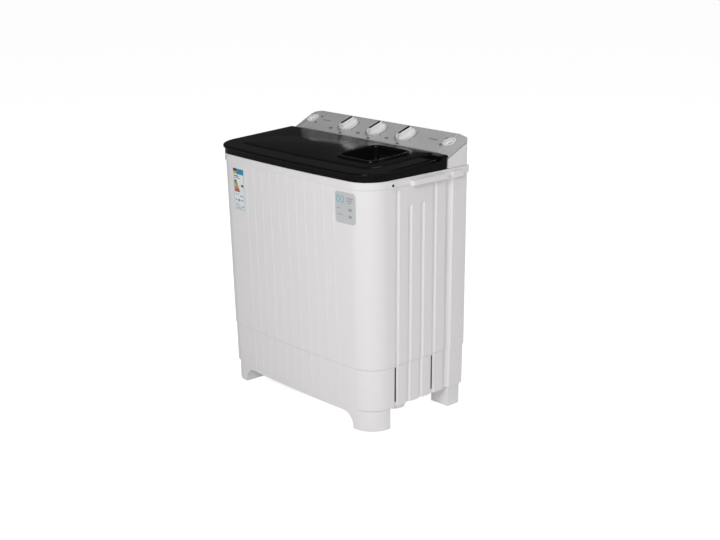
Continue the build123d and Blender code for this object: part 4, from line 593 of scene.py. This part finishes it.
# ---- Control panel ----------------------------------------------------------
# Sloping silver panel with three rotary knobs, a water inlet at each end and
# screen-printed dials. The panel is ABS lacquered with fine aluminium flake,
# which reads a little metallic.

silver_lacquer = moulded("silver lacquer on ABS", "CCCBCC", "D0CFD0", 0.4, 0.5, 0.03, metal=0.25)
dress(silver_lacquer, "control_fascia")
dress(white_gloss, "inlet_sockets", "wash_timer_knob", "drain_selector_knob", "spin_timer_knob")
dress(black_satin, "wash_timer_knob_insert", "drain_selector_knob_insert", "spin_timer_knob_insert")

knob_joints = ("wash_timer_turn", "drain_selector_turn", "spin_timer_turn")
panel_up = -Vector(joints["spin_timer_turn"]["axis"])
panel_across = Vector((1, 0, 0))
panel_along = panel_up.cross(panel_across)
knob_centre = [Vector(joints[name]["pos_m"]) / MM for name in knob_joints]
print_lift = 0.25


def panel_point(centre, across, along, lift):
    """Spot on the panel, from a centre on its surface."""
    return centre + panel_across * across + panel_along * along + panel_up * lift


def panel_strip(bm, centre, points, width):
    """Printed line of one width through several points of the panel."""
    edges = []
    for i, (x, y) in enumerate(points):
        ahead = points[min(i + 1, len(points) - 1)]
        behind = points[max(i - 1, 0)]
        run = Vector((ahead[0] - behind[0], ahead[1] - behind[1])).normalized()
        side = Vector((-run.y, run.x)) * width / 2
        edges.append([bm.verts.new(panel_point(centre, x + k * side.x, y + k * side.y, print_lift))
                      for k in (1, -1)])
    for a, b in zip(edges, edges[1:]):
        bm.faces.new((a[0], a[1], b[1], b[0]))


def arc_points(radius, start, stop, steps):
    """Points along an arc, between two angles in degrees."""
    angles = [math.radians(start + (stop - start) * i / steps) for i in range(steps + 1)]
    return [(radius * math.cos(a), radius * math.sin(a)) for a in angles]


dial_blue = printed("grey blue ink", "5C86A6")
dial_dark = printed("dark ink on silver", "2C2E32")

# Node tree that grows a dial's ticks: bars on the points of an arc, turned outward.
tick_ring = bpy.data.node_groups.new("dial ticks", "GeometryNodeTree")
tick_ring.interface.new_socket("Geometry", in_out="OUTPUT", socket_type="NodeSocketGeometry")
for name, kind in (("Count", "Int"), ("Radius", "Float"), ("Start", "Float"), ("Sweep", "Float"),
                   ("Length", "Float"), ("Width", "Float"), ("Ink", "Material")):
    tick_ring.interface.new_socket(name, in_out="INPUT", socket_type="NodeSocket" + kind)
given = add_node(tick_ring, "NodeGroupInput").outputs
arc = add_node(tick_ring, "GeometryNodeCurveArc", {
    "Resolution": given["Count"], "Radius": given["Radius"], "Start Angle": given["Start"],
    "Sweep Angle": given["Sweep"]}, mode="RADIUS")
outward = add_node(tick_ring, "GeometryNodeInputPosition")
aim = add_node(tick_ring, "FunctionNodeAlignRotationToVector",
               {"Vector": outward.outputs[0]}, axis="X")
bar = add_node(tick_ring, "GeometryNodeMeshGrid", {
    "Size X": given["Length"], "Size Y": given["Width"], "Vertices X": 2, "Vertices Y": 2})
spread = add_node(tick_ring, "GeometryNodeInstanceOnPoints", {
    "Points": arc.outputs["Curve"], "Instance": bar.outputs["Mesh"], "Rotation": aim.outputs[0]})
real = add_node(tick_ring, "GeometryNodeRealizeInstances", {"Geometry": spread.outputs[0]})
inked = add_node(tick_ring, "GeometryNodeSetMaterial",
                 {"Geometry": real.outputs[0], "Material": given["Ink"]})
add_node(tick_ring, "NodeGroupOutput", {0: inked.outputs[0]})


def grown(name, tree, values, place, body):
    """Piece that a node tree makes from its named inputs, set down by a matrix."""
    host = bpy.data.objects.new(name + "_host", bpy.data.meshes.new(name + "_host"))
    bpy.context.collection.objects.link(host)
    modifier = host.modifiers.new(name, "NODES")
    modifier.node_group = tree
    for item in tree.interface.items_tree:
        if item.in_out == "INPUT":
            modifier[item.identifier] = values[item.name]
    ready = host.evaluated_get(bpy.context.evaluated_depsgraph_get())
    data = bpy.data.meshes.new_from_object(ready)
    bpy.data.objects.remove(host)
    data.transform(place)
    thing = bpy.data.objects.new(name, data)
    bpy.context.collection.objects.link(thing)
    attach(thing, body)


# Radius, first and last angle, steps and stroke of a dial's blue arcs; ends and
# height of the bars that stand for its words.
dial_arcs = ((34.5, 165, 262, 16, 2.4), (34.5, -32, 40, 12, 2.4), (41.5, -36, -30, 2, 4.0))
dial_words = ((-62, -46, -27), (-58, -46, -32), (-4, 10, -42), (0, 12, -46))
word_stroke = 2.2
panel_turn = Matrix((panel_across, panel_along, panel_up)).transposed().to_4x4()
for index, centre in enumerate(knob_centre):
    bm = bmesh.new()
    for radius, start, stop, steps, stroke in dial_arcs:
        panel_strip(bm, centre, arc_points(radius, start, stop, steps), stroke)
    mesh_piece(f"dial_arcs_{index + 1}", bm, dial_blue)
    bm = bmesh.new()
    for x0, x1, y in dial_words:
        panel_strip(bm, centre, [(x0, y), (x1, y)], word_stroke)
    mesh_piece(f"dial_marks_{index + 1}", bm, dial_dark)
    set_down = Matrix.Translation((centre + print_lift * panel_up) * MM) @ panel_turn
    grown(f"dial_ticks_{index + 1}", tick_ring, {
        "Count": 16, "Radius": 38.2 * MM, "Start": math.radians(150), "Sweep": math.radians(270),
        "Length": 2.6 * MM, "Width": 0.9 * MM, "Ink": dial_dark}, set_down, "cabinet_body")

# Each inlet has a few printed marks beside it, and a pale strip of painted highlight along the
# panel's fold runs through it from the front edge to the rear one, leaving out the inlet's rim. The
# marks are three lines, an arrowhead and four dashes, all starting at one place.
inlet_r, fold_margin, fold_stroke = 19.5, 3, 1.8
inlet_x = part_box("inlet_sockets")[1].x / MM - inlet_r
fascia_ends = [Vector(v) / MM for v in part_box("control_fascia")]
fascia_low, fascia_high = [(v.y - knob_centre[1].y) / abs(panel_along.y) for v in fascia_ends]
folds = ((fascia_low + fold_margin, -inlet_r), (inlet_r, fascia_high - fold_margin))
fold_highlight_paint = printed("pale highlight of the panel's fold", "F4F4F4")
arrow, arrow_stroke = ((2, 12), (6, 19), (10, 12)), 2.4
line_count, line_length, line_stroke = 3, 9, 1.5
line_top, line_pitch, line_shift = -12, 3, 2
dash_count, dash_length, dash_pitch, dash_stroke = 4, 6, 9, 2.6
dash_start, dash_height = 26, 2
for index, (sx, mark_start) in enumerate(((-1, 24), (1, -26))):
    centre = knob_centre[1] + panel_across * sx * inlet_x
    bm = bmesh.new()
    for k in range(line_count):
        left, height = mark_start + line_shift * k, line_top - line_pitch * k
        panel_strip(bm, centre, [(left, height), (left + line_length, height)], line_stroke)
    tip = [(mark_start + x, y) for x, y in arrow]
    panel_strip(bm, centre, tip[:2], arrow_stroke)
    panel_strip(bm, centre, tip[1:], arrow_stroke)
    for k in range(dash_count):
        left = mark_start - sx * (dash_start + dash_pitch * k)
        ends = [(left, dash_height + k % 2), (left + dash_length, dash_height - k % 2)]
        panel_strip(bm, centre, ends, dash_stroke)
    mesh_piece(f"inlet_marks_{index + 1}", bm, dial_dark)
    bm = bmesh.new()
    for start, stop in folds:
        panel_strip(bm, centre, [(0, start), (0, stop)], fold_stroke)
    mesh_piece(f"panel_fold_highlight_{index + 1}", bm, fold_highlight_paint)

# ---- Wash tub ---------------------------------------------------------------
# Moulded polypropylene tub with a pulsator in its floor, a lint filter on its
# right-hand wall, and the bearing housing, pulleys and belt under it.

tub_plastic = moulded("tub polypropylene, smooth", "E2E7E9", "E8ECED", 0.28, 0.8, 0.02)
pulsator_plastic = moulded("blue grey pulsator ABS", "AEB9C1", "B5BFC6", 0.3, 0.8, 0.03)
net_white = moulded("white filter mesh polyester", "D9DDDD", "E6E8E8", 0.6, 1.6, 0.5)
glass_filled = moulded("grey glass-filled polypropylene", "7D8084", "868A8E", 0.5, 1.0, 0.1)
belt_rubber = moulded("black belt rubber", "131313", "1B1B1B", 0.7, 1.5, 0.2)
dress(tub_plastic, "wash_tub", "spin_casing", "spin_basket", "hold_down_plate")
dress(pulsator_plastic, "pulsator", "pulsator_screw")
dress(net_white, "lint_filter")
dress(glass_filled, "gear_housing", "pulsator_pulley", "motor_pulley", "wash_timer_body",
      "drain_selector_body", "spin_timer_body", "wash_timer_shaft", "drain_selector_shaft",
      "spin_timer_shaft")
dress(belt_rubber, "drive_belt")

# ---- Motors, brake and suspension -------------------------------------------
# Induction motors in black lacquer, plated steel shafts, springs and brackets,
# a fibre brake pad and rubber seals, cups and feet.

motor_iron = moulded("lacquered motor iron", "33363A", "3D4045", 0.5, 1.2, 0.15)
plated_steel = moulded("zinc plated steel", "B4B7BA", "C4C7CA", 0.32, 1.5, 0.05, metal=1.0)
brake_fibre = moulded("brown brake fibre", "5A4632", "6B543C", 0.8, 1.0, 0.4)
soft_rubber = moulded("black nitrile rubber", "161616", "1E1E1E", 0.65, 0.8, 0.1)
film_can = moulded("pale grey capacitor can", "C9CBCB", "D1D3D3", 0.4, 0.8, 0.03)
dress(motor_iron, "wash_motor", "spin_motor")
dress(plated_steel, "pulsator_shaft", "spin_shaft", "motor_bracket", "brake_drum", "brake_lever",
      "brake_rod", "suspension_springs", "hinge_pins", "rear_cover_screws")
dress(brake_fibre, "brake_pad")
dress(soft_rubber, "bellows_seal", "spring_cups", "foot_pads", "drain_plunger", "cord_gland")
dress(film_can, "motor_capacitors")

# ---- Drain ------------------------------------------------------------------
# Valve body, drain pipes and overflow pipe in grey polypropylene, a little
# duller than the tubs.

drain_grey = moulded("grey polypropylene pipe", "8B8E92", "94979B", 0.45, 0.9, 0.06)
dress(drain_grey, "drain_valve_body", "drain_pipes", "overflow_pipe")

# ---- Stage ------------------------------------------------------------------
# Pale floor, three soft lamps and a white surround, and a camera that sees the
# machine as the photograph does.

# The sky is white to the camera, brighter overhead than at the horizon to the
# machine, and dimmer in what mirrors it.
horizon, zenith, zenith_height, mirrored_sky, seen_sky = 0.15, 0.4, 0.9, 0.35, 1.0
world = bpy.data.worlds.new("studio")
bpy.context.scene.world = world
world.use_nodes = True
sky = world.node_tree
sky.nodes.clear()
sky_rays = add_node(sky, "ShaderNodeLightPath")
sky_coord = add_node(sky, "ShaderNodeTexCoord")
sky_axes = add_node(sky, "ShaderNodeSeparateXYZ", {0: sky_coord.outputs["Generated"]})
sky_level = add_node(sky, "ShaderNodeMapRange", {
    "Value": sky_axes.outputs["Z"], "From Min": 0.0, "From Max": zenith_height,
    "To Min": horizon, "To Max": zenith})
sky_dim = add_node(sky, "ShaderNodeMapRange", {
    "Value": sky_rays.outputs["Is Glossy Ray"], "To Min": 1.0, "To Max": mirrored_sky})
soft_sky = add_node(sky, "ShaderNodeMath", {0: sky_level.outputs[0], 1: sky_dim.outputs[0]},
                    operation="MULTIPLY")
sky_seen = add_node(sky, "ShaderNodeMix", {
    0: sky_rays.outputs["Is Camera Ray"], 2: soft_sky.outputs[0], 3: seen_sky}, data_type="FLOAT")
sky_glow = add_node(sky, "ShaderNodeBackground", {"Strength": sky_seen.outputs[0]})
add_node(sky, "ShaderNodeOutputWorld", {"Surface": sky_glow.outputs[0]})

# The floor glows a little, so that it fades into the sky around it, but not in
# what mirrors it.
floor_glow, floor_glow_seen, floor_glow_mirrored = 0.2, 0.74, -0.2
bpy.ops.mesh.primitive_plane_add(size=120)
floor = bpy.context.object
floor.name = "floor"
pale, tree = new_material("pale floor")
floor_rays = add_node(tree, "ShaderNodeLightPath")
paint = add_node(tree, "ShaderNodeBsdfDiffuse", {"Color": linear("F4F4F4")})
floor_seen = add_node(tree, "ShaderNodeMapRange", {
    "Value": floor_rays.outputs["Is Camera Ray"], "To Min": floor_glow, "To Max": floor_glow_seen})
floor_level = add_node(tree, "ShaderNodeMath", {
    0: floor_rays.outputs["Is Glossy Ray"], 1: floor_glow_mirrored, 2: floor_seen.outputs[0]},
    operation="MULTIPLY_ADD")
shine = add_node(tree, "ShaderNodeEmission", {"Strength": floor_level.outputs[0]})
both = add_node(tree, "ShaderNodeAddShader", {0: paint.outputs[0], 1: shine.outputs[0]})
add_node(tree, "ShaderNodeOutputMaterial", {"Surface": both.outputs[0]})
floor.data.materials.append(pale)


def lamp(name, place, target, size, power):
    """Large soft lamp that faces a point."""
    data = bpy.data.lights.new(name, "AREA")
    data.shape = "SQUARE"
    data.size = size
    data.energy = power
    thing = bpy.data.objects.new(name, data)
    bpy.context.collection.objects.link(thing)
    thing.location = place
    thing.rotation_mode = "QUATERNION"
    thing.rotation_quaternion = (Vector(target) - Vector(place)).to_track_quat("-Z", "Y")


lamp("key lamp", (1.7, -2.5, 1.9), (0, 0, 0.35), 1.0, 45)
lamp("side lamp", (3.0, 1.2, 1.3), (0, 0, 0.35), 1.4, 6)
lamp("top lamp", (0.6, 0.6, 3.2), (0, 0, 0.5), 1.6, 16)

# The photograph's camera, as solved from the casing's edges.
camera = bpy.data.cameras.new("camera")
camera.lens = 59.66
camera.sensor_width = 36.0
eye = bpy.data.objects.new("camera", camera)
bpy.context.collection.objects.link(eye)
eye_place = Vector((2.5218, -2.1965, 1.3648))
right = Vector((0.6729, 0.7397, -0.0079))
up = Vector((-0.2049, 0.1967, 0.9588))
ahead = Vector((-0.7108, 0.6435, -0.2839))
turn = Matrix((right, up, -ahead)).transposed()
eye.matrix_world = Matrix.Translation(eye_place) @ turn.to_4x4()
bpy.context.scene.camera = eye
bpy.context.scene.view_settings.view_transform = "Standard"
